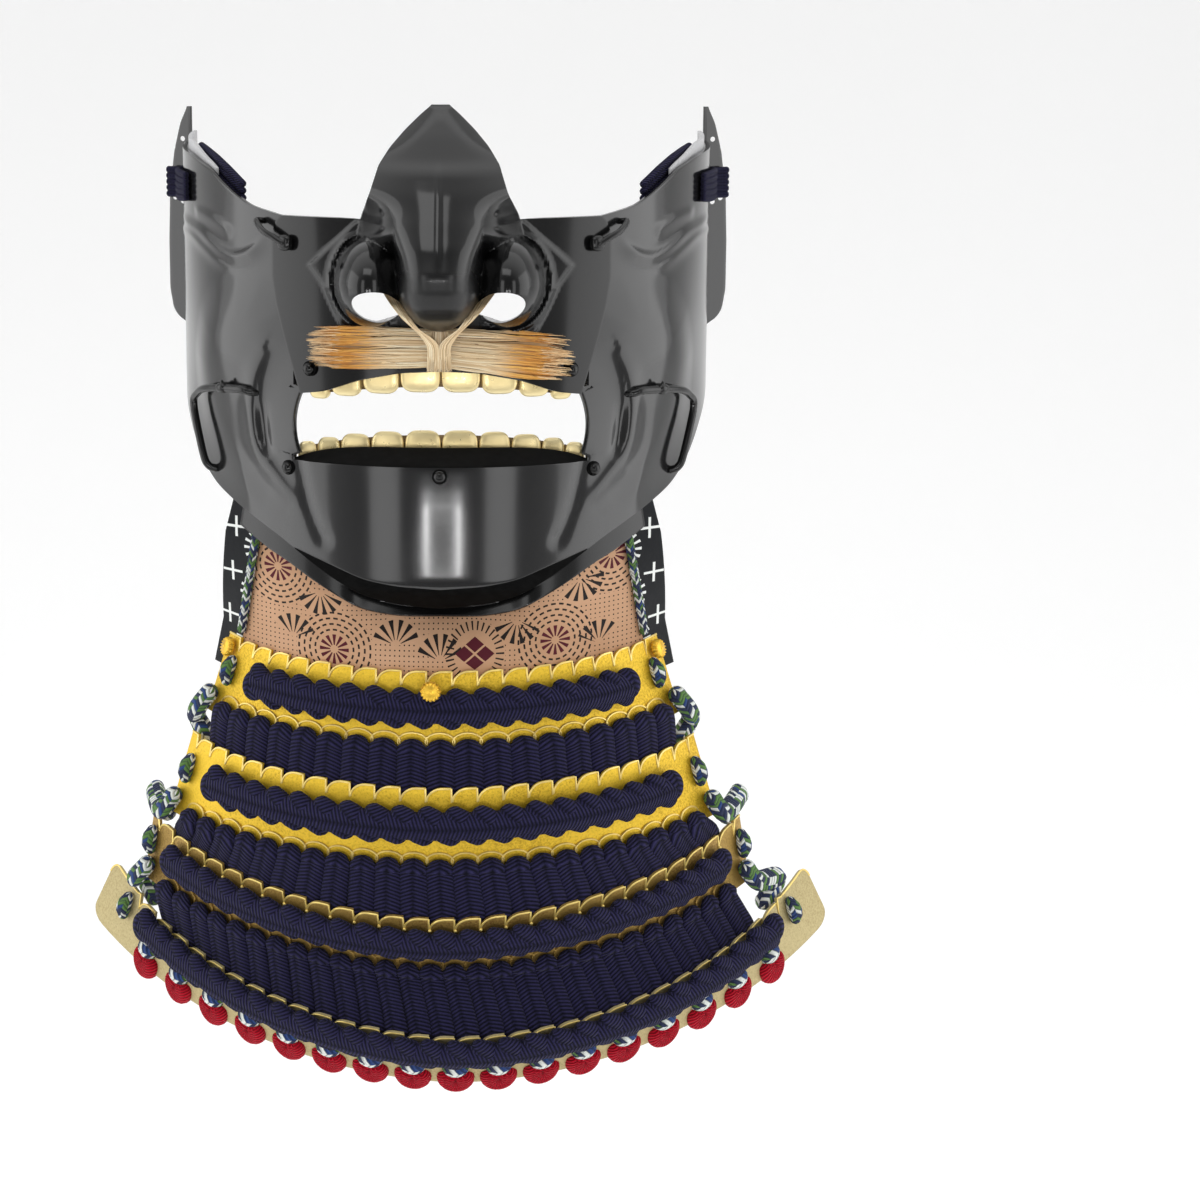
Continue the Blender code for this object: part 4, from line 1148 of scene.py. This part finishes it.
def bar(side, iron):
    """A bent rod that stands off the cheek, with its collar and nub."""
    stand = GAP + BAR_STAND
    route = [(41.0, 43.6, GAP), (41.8, 44.0, 0.7 * stand), (44.0, 44.6, stand), (53.5, 43.4, stand),
             (59.0, 40.6, stand), (61.5, 36.0, stand), (58.0, 21.5, stand), (57.0, 17.6, 0.7 * stand),
             (56.6, 16.6, GAP)]
    path = catmull([shell_point(side * turn, z, out) for turn, z, out in route], 8)
    rod = tube("bar", path, BAR_RADIUS, BAR_RADIUS, up=(0, 0.3, 1), sides=16)
    collar_path = [shell_point(side * turn, 44.6 - (turn - 44) * 0.06, stand) for turn in (48.2, 48.7, 49.2)]
    collar = tube("collar", collar_path, BAR_RADIUS * 1.35, BAR_RADIUS * 1.35, up=(0, 0.3, 1), sides=16)
    nub = lump("nub", collar_path[1] + (0, -0.6, 1.6), ((0.55, 0, 0), (0, -0.55, 0), (0, 0, 1.0)),
               segments=12, rings=8)
    finish(join([rod, collar, nub], f"rod_{SIDE_NAMES[side]}"), iron,
           [f"cheek_bar_{SIDE_NAMES[side]}"])


def hook(side, iron):
    """A wire hook from a head on the nose plate to the cheek."""
    start = [plate_point(side * 46.0, 91.0, out) for out in (GAP, 2.2)]
    middle = shell_point(side * 36.5, 94.5, 5.4)
    end = [shell_point(side * 39.4, 97.0, out) for out in (3.0, GAP + 0.2)]
    route = [start[1], 0.5 * (start[1] + middle) + (0, -0.4, 0), middle, *end]
    wire = tube("wire", catmull(route, 6), HOOK_RADIUS, HOOK_RADIUS, sides=14)
    outward = start[1] - start[0]
    across = unit(np.cross(outward, (0, 0, 1)))
    axes = (across * 2.5, unit(np.cross(across, outward)) * 2.5, unit(outward) * 1.6)
    head = lump("head", start[0] + outward * 0.4, axes, power=0.8, segments=20, rings=12)
    finish(join([wire, head], f"hook_{SIDE_NAMES[side]}"), iron,
           [f"nose_hook_{SIDE_NAMES[side]}"])


def hardware(look, iron, shade_look):
    """Bars and hooks of bent rod, and rivet heads, each in a dark ring of painted shade."""
    places = [("rivet_chin", shell_point(0.0, 21.5, 0.9), shell_point(0.0, 21.5, 1.9))]
    for side in SIDES:
        bar(side, iron)
        hook(side, iron)
        places.append((f"rivet_jaw_{SIDE_NAMES[side]}", shell_point(side * 33.0, 21.5),
                       shell_point(side * 33.0, 21.5, 1.0)))
        places.append((f"rivet_lip_{SIDE_NAMES[side]}", plate_point(side * 39.0, 53.0),
                       plate_point(side * 39.0, 53.0, 1.0)))
    for name, seat, ahead in places:
        out = unit(ahead - seat)
        across = unit(np.cross(out, (0, 0, 1)))
        head_half = RIVET_RADIUS * HEAD_SWELL
        shade_ring_half = head_half * SHADE_RING_SWELL
        # The ring is painted shade: a flat lump of black that mirrors nothing, a little wider than the head,
        # for its contact shadow
        for kind, half, lift, high, rings, finish_look in (("head", head_half, GAP + 0.3, 1.7, 14, look),
                                                           ("ring", shade_ring_half, GAP, 0.45, 8, shade_look)):
            axes = (across * half, np.cross(across, out) * half, out * high)
            piece = lump(f"{name}_{kind}", seat + out * lift, axes, segments=24, rings=rings)
            finish(piece, finish_look, [name])


# Leather

def leather_place(turn, row):
    """Outer face of the throat leather: row 0 its top, 1 below the rim, 2 above the first lame, 3 behind."""
    jaw = float(eased(JAW_LINE, abs(turn)))
    top = shell_point(turn, jaw, -(RIM_SEAT + RIM_PLATE + GAP))
    top[2] = jaw + 2.0
    top[1] += 1.5 * (1 - min(abs(turn) / 30, 1))
    hang = np.array([top[0], top[1], jaw - 1.2 - RIM_DROP * (0.35 + 0.65 * min(abs(turn) / 40, 1))])
    s = turn / LEATHER_TURN * 0.93
    behind = -(LAME_PLATE + GAP)
    stations = [top, hang, lame_point(0, s, -3.5, behind), lame_point(0, s, 12.0, behind)]
    low = min(int(row), 2)
    return stations[low] + (stations[low + 1] - stations[low]) * (row - low)


def leather_inward(point):
    return unit(np.array([-point[0] * 0.9, 60 - point[1], 0.0]))


def declare_cut(place, columns, rows):
    """Works out the points of a sheet as it was cut, in metres, and keeps nothing of them."""
    column, row = (values.ravel() for values in np.meshgrid(columns, rows))
    points = place(column, row).reshape(len(rows), len(columns), 3) / 1000


def leathers(tan, dark, cord):
    """The printed throat leather, the dark leathers beside it and the braids along its edges."""
    def place(column, row):
        return np.array([leather_place(c, r) for c, r in zip(column, row)])

    columns, rows = np.linspace(-LEATHER_TURN, LEATHER_TURN, 97), np.linspace(0, 3, 31)
    panel = grid("throat_panel", columns, rows, place)
    face_outward(panel, (0, -1, 0))
    wall(panel, LEATHER, 0.25)
    finish(panel, tan, ["throat_leather"])
    declare_cut(place, columns, rows)
    for side in SIDES:
        name = SIDE_NAMES[side]

        def flap(column, row):
            points = []
            for c, r in zip(column, row):
                edge = leather_place(side * LEATHER_TURN, r)
                reach = np.interp(r, range(4), FLAP_WIDTHS)
                angle = math.radians(np.interp(r, range(4), FLAP_ANGLES))
                beside = np.array([side * math.cos(angle), math.sin(angle), 0.0])
                seat = edge + leather_inward(edge) * (LEATHER + GAP + 0.7)
                points.append(seat + beside * (-1.2 + (reach + 1.2) * c))
            return np.array(points)

        wing = grid(f"side_flap_{name}", np.linspace(0, 1, 19), rows, flap)
        face_outward(wing, (side * 0.5, -1, 0))
        wall(wing, FLAP_LEATHER, 0.2)
        finish(wing, dark, [f"side_leather_{name}"])
        declare_cut(flap, np.linspace(0, 1, 19), rows)
        path = []
        for r in np.linspace(0.9, 2.0, 22):
            edge = leather_place(side * LEATHER_TURN, r)
            out = -leather_inward(edge) * (CORD_RADIUS + GAP + 0.1)
            path.append(edge + out + np.array([-side * 0.9, -0.6, 0]))
        braid_cord = tube(f"edge_cord_{name}", path, CORD_RADIUS, CORD_RADIUS, up=(1, 0, 0), sides=14)
        finish(braid_cord, cord, [f"edge_braid_{name}"])


# Lames and their lacing

def tab_drop(part):
    """How far the top edge lies below a tab's point, across one tab from 0 to 1."""
    if part > 0.965:
        return TAB_HIGH
    left = 1 - min(part / TAB_ROUND, 1.0)
    return TAB_HIGH * (1 - (1 - left * left) ** 0.55) - 0.3


def end_reach(data):
    """How far a lame's plain end runs beyond its tabs, as a share of its half width."""
    return END_TAB / (data["half"] * 1.05)


def lame_stations(data):
    """Places along a lame with the height of its top edge there."""
    step = 2 * data["tab_span"] / data["tabs"]
    parts = (0.0, 0.02, 0.06, 0.12, 0.2, 0.3, 0.42, 0.56, 0.72, 0.88, 0.955, 0.97)
    tabs = [(-data["tab_span"] + (tab + part) * step, tab_drop(part)) for tab in range(data["tabs"])
            for part in parts]
    if data["tab_span"] < 1:
        ends = [(place, -0.6) for place in np.linspace(data["tab_span"] + 0.012, 1.0, 5)]
        return [(-place, drop) for place, drop in reversed(ends)] + tabs + ends
    ends = []
    for share in (0.04, 0.08, 0.14, 0.3, 0.5, 0.7, 0.8, 0.86, 0.9, 0.94, 0.97, 0.99, 1.0):
        corner = max(share - 0.82, 0) / 0.18
        ends.append((1 + share * end_reach(data), -0.5 + 4.5 * (1 - math.sqrt(max(1 - corner ** 2, 0)))
                     - 1.2 * max(0.14 - share, 0) / 0.14))
    return [(-place, drop) for place, drop in reversed(ends)] + tabs + ends


def lame(index, look, rim_look, nodes):
    """A gilt plate with its row of tabs, and a line of paler gilt along its top edge: a painted highlight
    where the edge catches the light.
    """
    data = LAMES[index]
    stations = lame_stations(data)
    reach = end_reach(data)

    def place(column, row):
        points = []
        for c, r in zip(column, row):
            s, drop = stations[int(round(c))]
            low = data["high"]
            beyond = max(abs(s) - 1 - 0.72 * reach, 0) / (0.28 * reach)
            if data["tab_span"] >= 1 and beyond > 0:
                low -= 4.5 * (1 - math.sqrt(max(1 - min(beyond, 1.0) ** 2, 0)))
            points.append(lame_point(index, s, drop + (low - drop) * r))
        return np.array(points)

    plate = grid(f"gilt_plate_{index + 1}", np.arange(len(stations)), np.linspace(0, 1, 10), place)
    face_outward(plate, (0, -1, 0))
    wall(plate, LAME_PLATE, 0.22)
    finish(plate, look, nodes)
    # Painted highlight: a thin tube of paler gilt along the top edge, with dots of it where the tabs meet on
    # the lower lames
    edge = [lame_point(index, s, drop, 0.02) for s, drop in stations]
    faces = [lame_frame(index, s)[4] for s, _ in stations]
    lines = [tube("edge", edge, 0.26, 0.34, up=faces, sides=8, round_ends=False)]
    if index > 1:
        step = 2 * data["tab_span"] / data["tabs"]
        for tab in range(1, data["tabs"]):
            s = -data["tab_span"] + tab * step
            _, tangent, _, down, face = lame_frame(index, s)
            lines.append(lump("dot", lame_point(index, s, TAB_HIGH, 0.3),
                              (tangent * 0.62, down * 0.62, face * 0.6), segments=10, rings=7))
    finish(join(lines, f"gilt_edge_highlight_{index + 1}"), rim_look, nodes)


def roll(index, look):
    """A thick braided cord laid along a lame in slanting turns that overlap."""
    data = LAMES[index]
    step = 2 * data["tab_span"] / data["tabs"]
    span = ROLL_SPANS[index]
    turns = int(round(2 * span / step))
    low = data["roll"] - ROLL_LIFTS[index]
    pieces = []
    for turn in range(turns):
        s = -span + 2 * span * (turn + 0.5) / turns
        _, tangent, _, down, face = lame_frame(index, s)
        slant = math.radians(ROLL_SLANTS[index])
        along_it = unit(tangent * math.cos(slant) + down * math.sin(slant))
        across = unit(np.cross(along_it, face))
        centre = lame_point(index, s, low, GAP + ROLL_DEEP + 0.1)
        half = ROLL_HIGH / math.sin(slant) * CHANCE.uniform(0.94, 1.0) * 0.86
        wide = 0.5 * step * data["half"] * 1.12 * math.sin(slant) * 1.62
        path = []
        for place in np.linspace(-1, 1, 7):
            lift = 0.9 * (1 - place * place) - 0.9 * place
            path.append(centre + along_it * half * 0.86 * place + face * (0.35 * lift - 0.5)
                        + across * CHANCE.uniform(-0.12, 0.12))
        pieces.append(tube("turn", path, ROLL_DEEP * CHANCE.uniform(0.92, 1.0), wide, up=[face] * 7, sides=16,
                           shares=[0.78, 0.93, 1.0, 1.0, 1.0, 0.93, 0.78]))
    middles = np.linspace(-span, span, 61)
    core = [lame_point(index, s, low, GAP + ROLL_DEEP + 0.1) for s in middles]
    pieces.append(tube("core", core, ROLL_HIGH * 0.84, ROLL_DEEP * 0.98,
                       up=[-lame_frame(index, s)[3] for s in middles], sides=24))
    for end, s in ((-1, -span), (1, span)):
        _, tangent, _, down, face = lame_frame(index, s)
        centre = lame_point(index, s + end * 0.002, low - end * 0.6, GAP + ROLL_DEEP)
        axes = (tangent * 5.0, face * ROLL_DEEP * 1.02, down * (ROLL_HIGH - 0.4))
        pieces.append(lump("end", centre, axes, segments=24, rings=16))
    return finish(join(pieces, f"rolled_cord_{index + 1}"), look, [f"roll_{index + 1}"])


def lacing(index, look, rim_look):
    """Upright braids from arched holes of one lame down behind the tabs of the next."""
    above = LAMES[index]
    count = CORDS[index]

    def stations(middle):
        route = [(0, above["lace"] + 1.6, 1.5), (0, above["lace"] + 3.4, 2.1), (0, above["high"], 2.1),
                 (1, 1.5, -(LAME_PLATE + GAP + 1.6)), (1, 6.5, -(LAME_PLATE + GAP + 1.9))]
        s = LACED_SHARE * middle
        points = [lame_point(index + which, s, down, out + GAP * (1 - which)) for which, down, out in route]
        faces = [lame_frame(index + which, s)[4] for which, _, _ in route]
        points.insert(3, 0.5 * (points[2] + points[3]))
        faces.insert(3, unit(faces[2] + faces[3]))
        return points, faces

    pieces, arches = [], []
    for cord in range(count):
        middle = -1 + 2 * (cord + 0.5) / count
        lean = CHANCE.uniform(-0.05, 0.05) * 2 / count
        path, faces = stations(middle)
        lower, _ = stations(middle + lean)
        path = [first + (second - first) * share
                for first, second, share in zip(path, lower, np.linspace(0, 1, 6))]
        neighbours = zip(stations(middle - 1 / count)[0], stations(middle + 1 / count)[0])
        widths = [0.5 * np.linalg.norm(second - first) * 1.1 for first, second in neighbours]
        smooth, ups = catmull(path, 4), [unit(face) for face in catmull(faces, 4)]
        shares = [float(width[0]) for width in catmull([[width / widths[0]] for width in widths], 4)]
        shares = [share * narrow for share, narrow in zip(shares, (0.74, 0.86, 0.94, 0.98))] + shares[4:]
        wide = widths[0] * CHANCE.uniform(0.96, 1.03)
        pieces.append(tube("cord", smooth, CORD_THICK * CHANCE.uniform(0.92, 1.08), wide, up=ups, sides=16,
                           shares=shares))
        # A thin line round each hole's arch: on the first two lames the paler highlight gilt, a painted
        # highlight on the hole's edge, and on the third that lame's darker gilt
        _, tangent, _, down, face = lame_frame(index, LACED_SHARE * middle)
        arch = [path[0] - face * (1.3 + GAP) + widths[0] * (tangent * math.cos(turn) * 0.98 - down * (
            0.62 * math.sin(turn) + 0.05)) for turn in np.linspace(-0.5, math.pi + 0.5, 13)]
        arches.append(tube("arch", arch, 0.32, 0.32, up=face, sides=6, round_ends=False))

    def backing(column, row):
        points = []
        for middle, step in zip(column, row):
            path, faces = stations(middle)
            points.append(path[int(step)] - faces[int(step)] * 0.5)
        return np.array(points)

    cloth = grid("backing", np.linspace(-0.98, 0.98, 41), np.arange(1, 6), backing)
    face_outward(cloth, (0, -1, 0))
    wall(cloth, 0.6, 0)
    finish(join(arches, f"cord_arches_{index + 1}"), rim_look, [f"lame_{index + 1}"])
    return finish(join([*pieces, cloth], f"upright_cords_{index + 1}"), look,
                  [f"lacing_{index + 1}"])


def side_cords(look):
    """Speckled loops from lame to lame, and the upright knots."""
    for index in range(4):
        data = LAMES[index]
        for side in SIDES:
            name = f"{SIDE_NAMES[side]}_{index + 1}"
            s = side * KNOT_PLACES[index]
            _, tangent, _, down, face = lame_frame(index, s)
            seat = lame_point(index, s, data["roll"], GAP + 2.0)
            path = [seat + down * reach - face * 0.06 * reach * reach
                    for reach in (-KNOT_HALF, -0.5 * KNOT_HALF, 0, 0.5 * KNOT_HALF, KNOT_HALF)]
            knot = tube(f"upright_knot_{name}", path, 2.4, 2.6, up=tangent, sides=16,
                        shares=[0.72, 0.95, 1.0, 0.95, 0.72])
            finish(knot, look, [f"knot_{name}"])
            if index == 3:
                continue
            start = lame_point(index, side * 0.962, data["high"] - 7.0, GAP + LOOP_RADIUS + 0.2)
            edge = lame_point(index, side * 0.99, data["high"] - 0.5, GAP + LOOP_RADIUS + 1.2)
            over = lame_point(index + 1, side * 1.06, -LOOP_RADIUS - 1.6, -3.0)
            end = lame_point(index + 1, side, 0.5, -(LAME_PLATE + GAP + LOOP_RADIUS + 1.4))
            loop = tube(f"edge_loop_{name}", catmull([start, edge, over, end], 8), LOOP_RADIUS * 1.15,
                        LOOP_RADIUS * 1.4, up=(side, 0, 0.4), sides=18)
            finish(loop, look, [f"side_loop_{name}"])


def hem(red, speckle):
    """Red cord looped round the hem, with a speckled pad inside each loop."""
    data = LAMES[3]
    pitch = 2 * HEM_SPAN / (HEM_LOOPS - 1 + LOOP_SHARE)
    loops, pads = [], []
    for number in range(HEM_LOOPS):
        s = -HEM_SPAN + (number + 0.5 * LOOP_SHARE) * pitch
        _, tangent, _, down, face = lame_frame(3, s)
        centre = lame_point(3, s, data["high"] - 2.6, -0.5 * LAME_PLATE)
        for reach, thick in HEM_STRANDS:
            path = [centre + tangent * reach * math.sin(turn) + down * reach * 1.08 * math.cos(turn)
                    for turn in np.radians(np.linspace(-105, 105, 15))]
            loops.append(tube("loop", path, HEM_CORD_HIGH, thick, up=face, sides=14))
        axes = [axis * half for axis, half in zip((down, face, tangent), HEM_PAD)]
        pads.append(lump("pad", lame_point(3, s, data["high"] - 7.2, -0.5 * LAME_PLATE), axes, segments=16,
                         rings=14))
    finish(join(loops, "hem_loops"), red, ["hem_lacing_red"])
    finish(join(pads, "hem_pads"), speckle, ["hem_lacing_speckled"])


def studs(look):
    """Gilt rosettes with round petals."""
    for name, s, down, stem in STUDS:
        _, tangent, _, downward, face = lame_frame(0, s)
        seat = lame_point(0, s, down)

        def petals(local):
            a, b, c = local
            turn = math.atan2(b, a)
            wave = 1 + 0.05 * math.cos(16 * turn) * (1 - c * c)
            ring = 0.16 * math.exp(-((math.hypot(a, b) - 0.86) / 0.1) ** 2) * (1 + math.cos(16 * turn))
            return np.array([a * wave, b * wave, max(c, -0.25) + (ring if c > 0 else 0)])

        flower = lump("flower", seat + face * (stem + 0.5),
                      (tangent * STUD_RADIUS, downward * STUD_RADIUS, face * 1.8), segments=96, rings=24,
                      shape_it=petals)
        button = lump("button", seat + face * (stem + 1.9), (tangent * 1.0, downward * 1.0, face * 0.7),
                      segments=16, rings=10)
        stalk = tube("stalk", [seat + face * GAP, seat + face * (stem + 0.6)], 0.7, 0.7, up=tangent, sides=10,
                     round_ends=False)
        finish(join([flower, button, stalk], f"rosette_{name}"), look, [f"stud_{name}"])


def tie_cords(navy, grey):
    """Navy bands over the ear strips, with the grey tabs and cord ends inside the cheeks."""
    for side in SIDES:
        name = SIDE_NAMES[side]
        middle = [shell_point(side * turn, 104.5 + (BEND_TURN - turn) * 0.02, GAP + 1.2)
                  for turn in (70, 76, 82, 88, 92.5)]
        ear = shell_point(side * BEND_TURN, 104.0)
        for reach in (3.0, 7.4):
            middle.append(ear + np.array([side * reach, EAR_LEAN * reach - 2.6 - GAP, 0.0]))
        cords = []
        for level in range(5):
            lift = (level - 2) * 2.0
            path = [point + (0, 0, lift * (1 - 0.12 * (k == 0))) for k, point in enumerate(middle)]
            cords.append(tube("strand", catmull(path, 4), 1.15, 1.1, sides=12))
        finish(join(cords, f"ear_band_{name}"), navy, [f"tie_cord_{name}"])

        def liner(column, row):
            z = eased(BROW_LINE, column) + np.where(row < 0, row, row * np.minimum((column - 54) / 20, 1))
            return shell_point(side * column, z, -(PLATE + GAP + 0.1))

        tab = grid(f"ear_tab_{name}", np.linspace(58, 95.5, 33), np.linspace(-9, 3.4, 9), liner)
        face_outward(tab, (0, -1, 0))
        wall(tab, 1.2, 0.2)
        finish(tab, grey, [f"ear_liner_{name}"])
        cords = []
        for level in range(4):
            path = [shell_point(side * turn, float(along(BROW_LINE, turn)) - 1.5 + (level - 1.5) * 2.2,
                                -(PLATE + 2 * GAP + 1.3 + 1.5)) for turn in (50, 56, 62, 68, 74)]
            cords.append(tube("strand", path, 1.2, 1.2, sides=12))
        finish(join(cords, f"cord_end_{name}"), navy, [f"tie_end_{name}"])


# The room

def softbox(name, degrees, rise, distance, size, brightness):
    """A flat light at an angle from the front and a height, as bright as given, aimed at the mask."""
    turn = math.radians(degrees)
    place = Vector((distance * math.sin(turn), -distance * math.cos(turn), rise))
    deselect()
    bpy.ops.object.light_add(type="AREA", location=place)
    light = bpy.context.object
    light.name = name
    light.data.shape = "RECTANGLE"
    light.data.size, light.data.size_y = size
    light.data.energy = brightness * math.pi * size[0] * size[1]
    light.visible_camera = False
    light.rotation_euler = (Vector(LIGHT_TARGET) - place).to_track_quat("-Z", "Y").to_euler()


def backdrop():
    """A pale floor that sweeps up behind the mask."""
    bend = np.radians(range(6, 91, 6))
    sweep = [(FLOOR_FRONT, 0.0), (FLOOR_BEND, 0.0)]
    sweep += [(FLOOR_BEND + SWEEP_RADIUS * math.sin(turn), SWEEP_RADIUS - SWEEP_RADIUS * math.cos(turn))
              for turn in bend]
    sweep.append((FLOOR_BEND + SWEEP_RADIUS, 3.0))

    def place(column, row):
        y, z = np.array(sweep)[np.rint(row).astype(int)].T
        return np.stack([column, y, z + FLOOR], axis=-1)

    floor = grid("floor", np.linspace(-4, 4, 9), np.arange(len(sweep)), place)
    face_outward(floor, (0, -1, 1))
    bpy.ops.object.shade_smooth()
    pale = Shader("pale floor", (0.95, 0.95, 0.95), 0.9)
    pale.fix({"Specular IOR Level": 0.1, "Emission Color": (1, 1, 1, 1), "Emission Strength": 0.12})
    floor.data.materials.append(pale.material)


def room():
    """Soft white light, darker in front and bright at the sides, and the camera of the photograph."""
    backdrop()
    world = bpy.data.worlds.new("soft white")
    world.use_nodes = True
    nodes, links = world.node_tree.nodes, world.node_tree.links
    place = nodes.new("ShaderNodeTexCoord")
    parts = nodes.new("ShaderNodeSeparateXYZ")
    shade = nodes.new("ShaderNodeMapRange")
    shade.interpolation_type = "SMOOTHSTEP"
    for name, value in (("From Min", -0.95), ("From Max", 0.1), ("To Min", ROOM_FRONT),
                        ("To Max", ROOM_SIDE)):
        shade.inputs[name].default_value = value
    links.new(place.outputs["Generated"], parts.inputs[0])
    links.new(parts.outputs["Y"], shade.inputs["Value"])
    links.new(shade.outputs[0], nodes["Background"].inputs["Strength"])
    nodes["Background"].inputs["Color"].default_value = (1, 1, 1, 1)
    bpy.context.scene.world = world
    for side in SIDES:
        for name, degrees, *rest in PAIRED_LIGHTS:
            softbox(f"{name}_{side}", side * degrees, *rest)
    for light in SINGLE_LIGHTS:
        softbox(*light)
    target = Vector(CAMERA_TARGET)
    pitch, yaw = math.radians(CAMERA_PITCH), math.radians(CAMERA_YAW)
    away = Vector((math.sin(yaw) * math.cos(pitch), -math.cos(yaw) * math.cos(pitch), math.sin(pitch)))
    deselect()
    bpy.ops.object.camera_add(location=target + CAMERA_DISTANCE * away)
    camera = bpy.context.object
    camera.rotation_euler = (target - camera.location).to_track_quat("-Z", "Y").to_euler()
    camera.data.lens = CAMERA_LENS
    camera.data.sensor_width = 36
    camera.data.shift_x = CAMERA_SHIFT
    bpy.context.scene.camera = camera
    bpy.context.scene.view_settings.view_transform = "Standard"


# Prints on the leathers

class Print(Shader):
    """A flat print drawn over x and z, in millimetres; every mark is 0 or 1."""

    def __init__(self, name, colour, rough, mirror):
        super().__init__(name, colour, rough)
        self.fix({"Specular IOR Level": mirror})
        x, _, z = self.split()
        self.x, self.z = x * 1000.0, z * 1000.0

    def length(self, dx, dz):
        return self.math("SQRT", self.math("POWER", dx, 2.0) + self.math("POWER", dz, 2.0))

    def away(self, cx, cz, x=None):
        """Distance and direction from a centre."""
        dx, dz = (x or self.x) - cx, self.z - cz
        return self.length(dx, dz), self.math("ARCTAN2", dz, dx)

    def band(self, value, middle, half):
        return self.math("COMPARE", value, middle, half)

    def either(self, first, *others):
        for value in others:
            first = self.math("MAXIMUM", first, value)
        return first

    def spokes(self, angle, count, share, shift=0.0):
        """Narrow sectors, count of them all round, that fill a share of the turn."""
        return (angle * (count / math.tau) + (8.0 + shift)).ping_pong(0.5) < share * 0.5


def printed_leather():
    """Tan leather with rows of dots, rosettes in rings of dashes, fans of strokes and a lozenge flower."""
    shader = Print("printed tan leather", (0.50, 0.30, 0.18), 0.75, 0.25)
    row, column = (shader.math("FRACT", value / DOT_PITCH) - 0.5 for value in (shader.z, shader.x))
    dots = shader.length(row, column) < 0.16
    ink, wine, clear = [], [], []
    for cx, cz in ROSETTES:
        reach, angle = shader.away(cx, cz)
        wine.append(shader.spokes(angle, 12, 0.5) * shader.band(reach, 3.0, 1.7))
        for ring, count in ROSETTE_RINGS:
            ink.append(shader.spokes(angle, count, 0.6, 0.3 * ring) * shader.band(reach, ring, 0.3))
        clear.append(reach < 12.4)
    fx, fz = LOZENGE_FLOWER
    across, tall = abs(shader.x - fx), abs(shader.z - fz)
    for dx, dz in ((3.3, 0.0), (0.0, 2.6)):
        wine.append(abs(across - dx) / 1.3 + abs(tall - dz) < 2.2)
    reach, angle = shader.away(fx, fz)
    ink.append(shader.spokes(angle, 30, 0.3) * shader.band(reach, 7.9, 1.3))
    clear.append(reach < 9.6)
    for cx, cz, start, end in FANS:
        reach, angle = shader.away(cx, cz)
        sector = shader.band(angle, 0.5 * (start + end), 0.5 * (end - start))
        # The strokes of a fan widen outward
        ink.append(sector * shader.spokes(angle, 14, reach * 0.04 + 0.176) * shader.band(reach, 4.6, 2.9))
        clear.append(sector * (reach < 8.3))
    free = 1.0 - shader.either(*clear)
    ground = shader.ramp(shader.noise(40, 4), (0.3, (0.44, 0.25, 0.14)), (0.7, (0.55, 0.33, 0.20)))
    inked = shader.mix(shader.either(dots * free, *ink), ground, (0.012, 0.008, 0.007))
    shader.colour(shader.mix(shader.either(*wine), inked, (0.075, 0.006, 0.014)))
    shader.bump(shader.noise(700, 3), 0.25, 0.0004)
    return shader.material


def flowered_leather():
    """Black leather printed with pale crosses and fans of strokes that spread from its inner edge."""
    shader = Print("flowered black leather", (0.02, 0.024, 0.03), 0.6, 0.2)
    across = abs(shader.x)
    marks = []
    for level in CROSS_LEVELS:
        centre = CROSS_REACH - 0.12 * (level - CROSS_LEVELS[0])
        dx, dz = abs(across - centre), abs(shader.z - level)
        for along_it, beside in ((dx, dz), (dz, dx)):
            marks.append((along_it < 3.4) * (beside < 0.42))
        reach, angle = shader.away(centre - 9.5, level - 6.5, across)
        strokes = shader.spokes(angle, 16, 0.36) * shader.band(reach, 4.2, 2.8)
        marks.append(shader.band(angle, 0.0, 1.5) * strokes)
    shader.colour(shader.mix(shader.either(*marks), (0.004, 0.005, 0.007), (0.80, 0.82, 0.80)))
    shader.bump(shader.noise(600, 3), 0.2, 0.0004)
    return shader.material


# Everything together


def main():
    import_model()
    black = lacquer("black lacquer plate", 0.008, 0.15)
    nose_black = lacquer("black lacquer nose", 0.004, 0.14, 1.46, 0.24)
    rivet_black = lacquer("black lacquer rivets", 0.0015, 0.1, 1.4)
    iron = lacquer("black iron", 0.003, 0.2, 1.46)
    bright = gilt("bright gilt", (0.78, 0.52, 0.035), (0.50, 0.30, 0.012), 0.5, 1.0)
    # The third lame's gilt is darker and browner than that of the first two
    deep = gilt("darker gilt", (0.42, 0.27, 0.07), (0.22, 0.12, 0.03), 0.45, 1.0)
    khaki = gilt("pale khaki gilt", (0.50, 0.42, 0.22), (0.40, 0.32, 0.15), 0.6, 0.4)
    # Painted highlight gilt, paler than the lames, for their lit top edges and the rims of the first two
    # lames' lacing holes
    highlight_gilt = plain("painted highlight gilt", (0.95, 0.70, 0.22), 0.35, 0.5)
    navy = braid("navy braid", (0.0015, 0.0015, 0.006), (0.028, 0.025, 0.085), 1.2)
    red = braid("red braid", (0.22, 0.0, 0.006), (0.66, 0.004, 0.026), 0.9)
    speckle = speckled("speckled braid", 1.3)
    # Painted shade: black that mirrors nothing, for the lip's ledge, the fold under the chin and the rings
    # round the rivets
    painted_shade_black = painted_shade_material("painted shade black", 0.002)
    mask_plate(black, painted_shade_black)
    for side in SIDES:
        ear_strip(side, black)
    throat_rim(iron)
    nose_plate(nose_black)
    mouth_teeth(tooth_gilt())
    moustache(hair(), plain("hair shade", (0.40, 0.25, 0.12), 0.9))
    hardware(rivet_black, iron, painted_shade_black)
    leathers(printed_leather(), flowered_leather(), speckle)
    for index in range(4):
        lame(index, (bright, bright, deep, khaki)[index], highlight_gilt, [f"lame_{index + 1}"])
        roll(index, navy)
    for index in range(3):
        lacing(index, navy, highlight_gilt if index < 2 else deep)
    side_cords(speckle)
    hem(red, speckle)
    studs(plain("rosette gilt", (0.85, 0.52, 0.05), 0.35, 0.7))
    tie_cords(navy, plain("grey leather", (0.55, 0.55, 0.56), 0.75, grain=1500))
    room()


main()
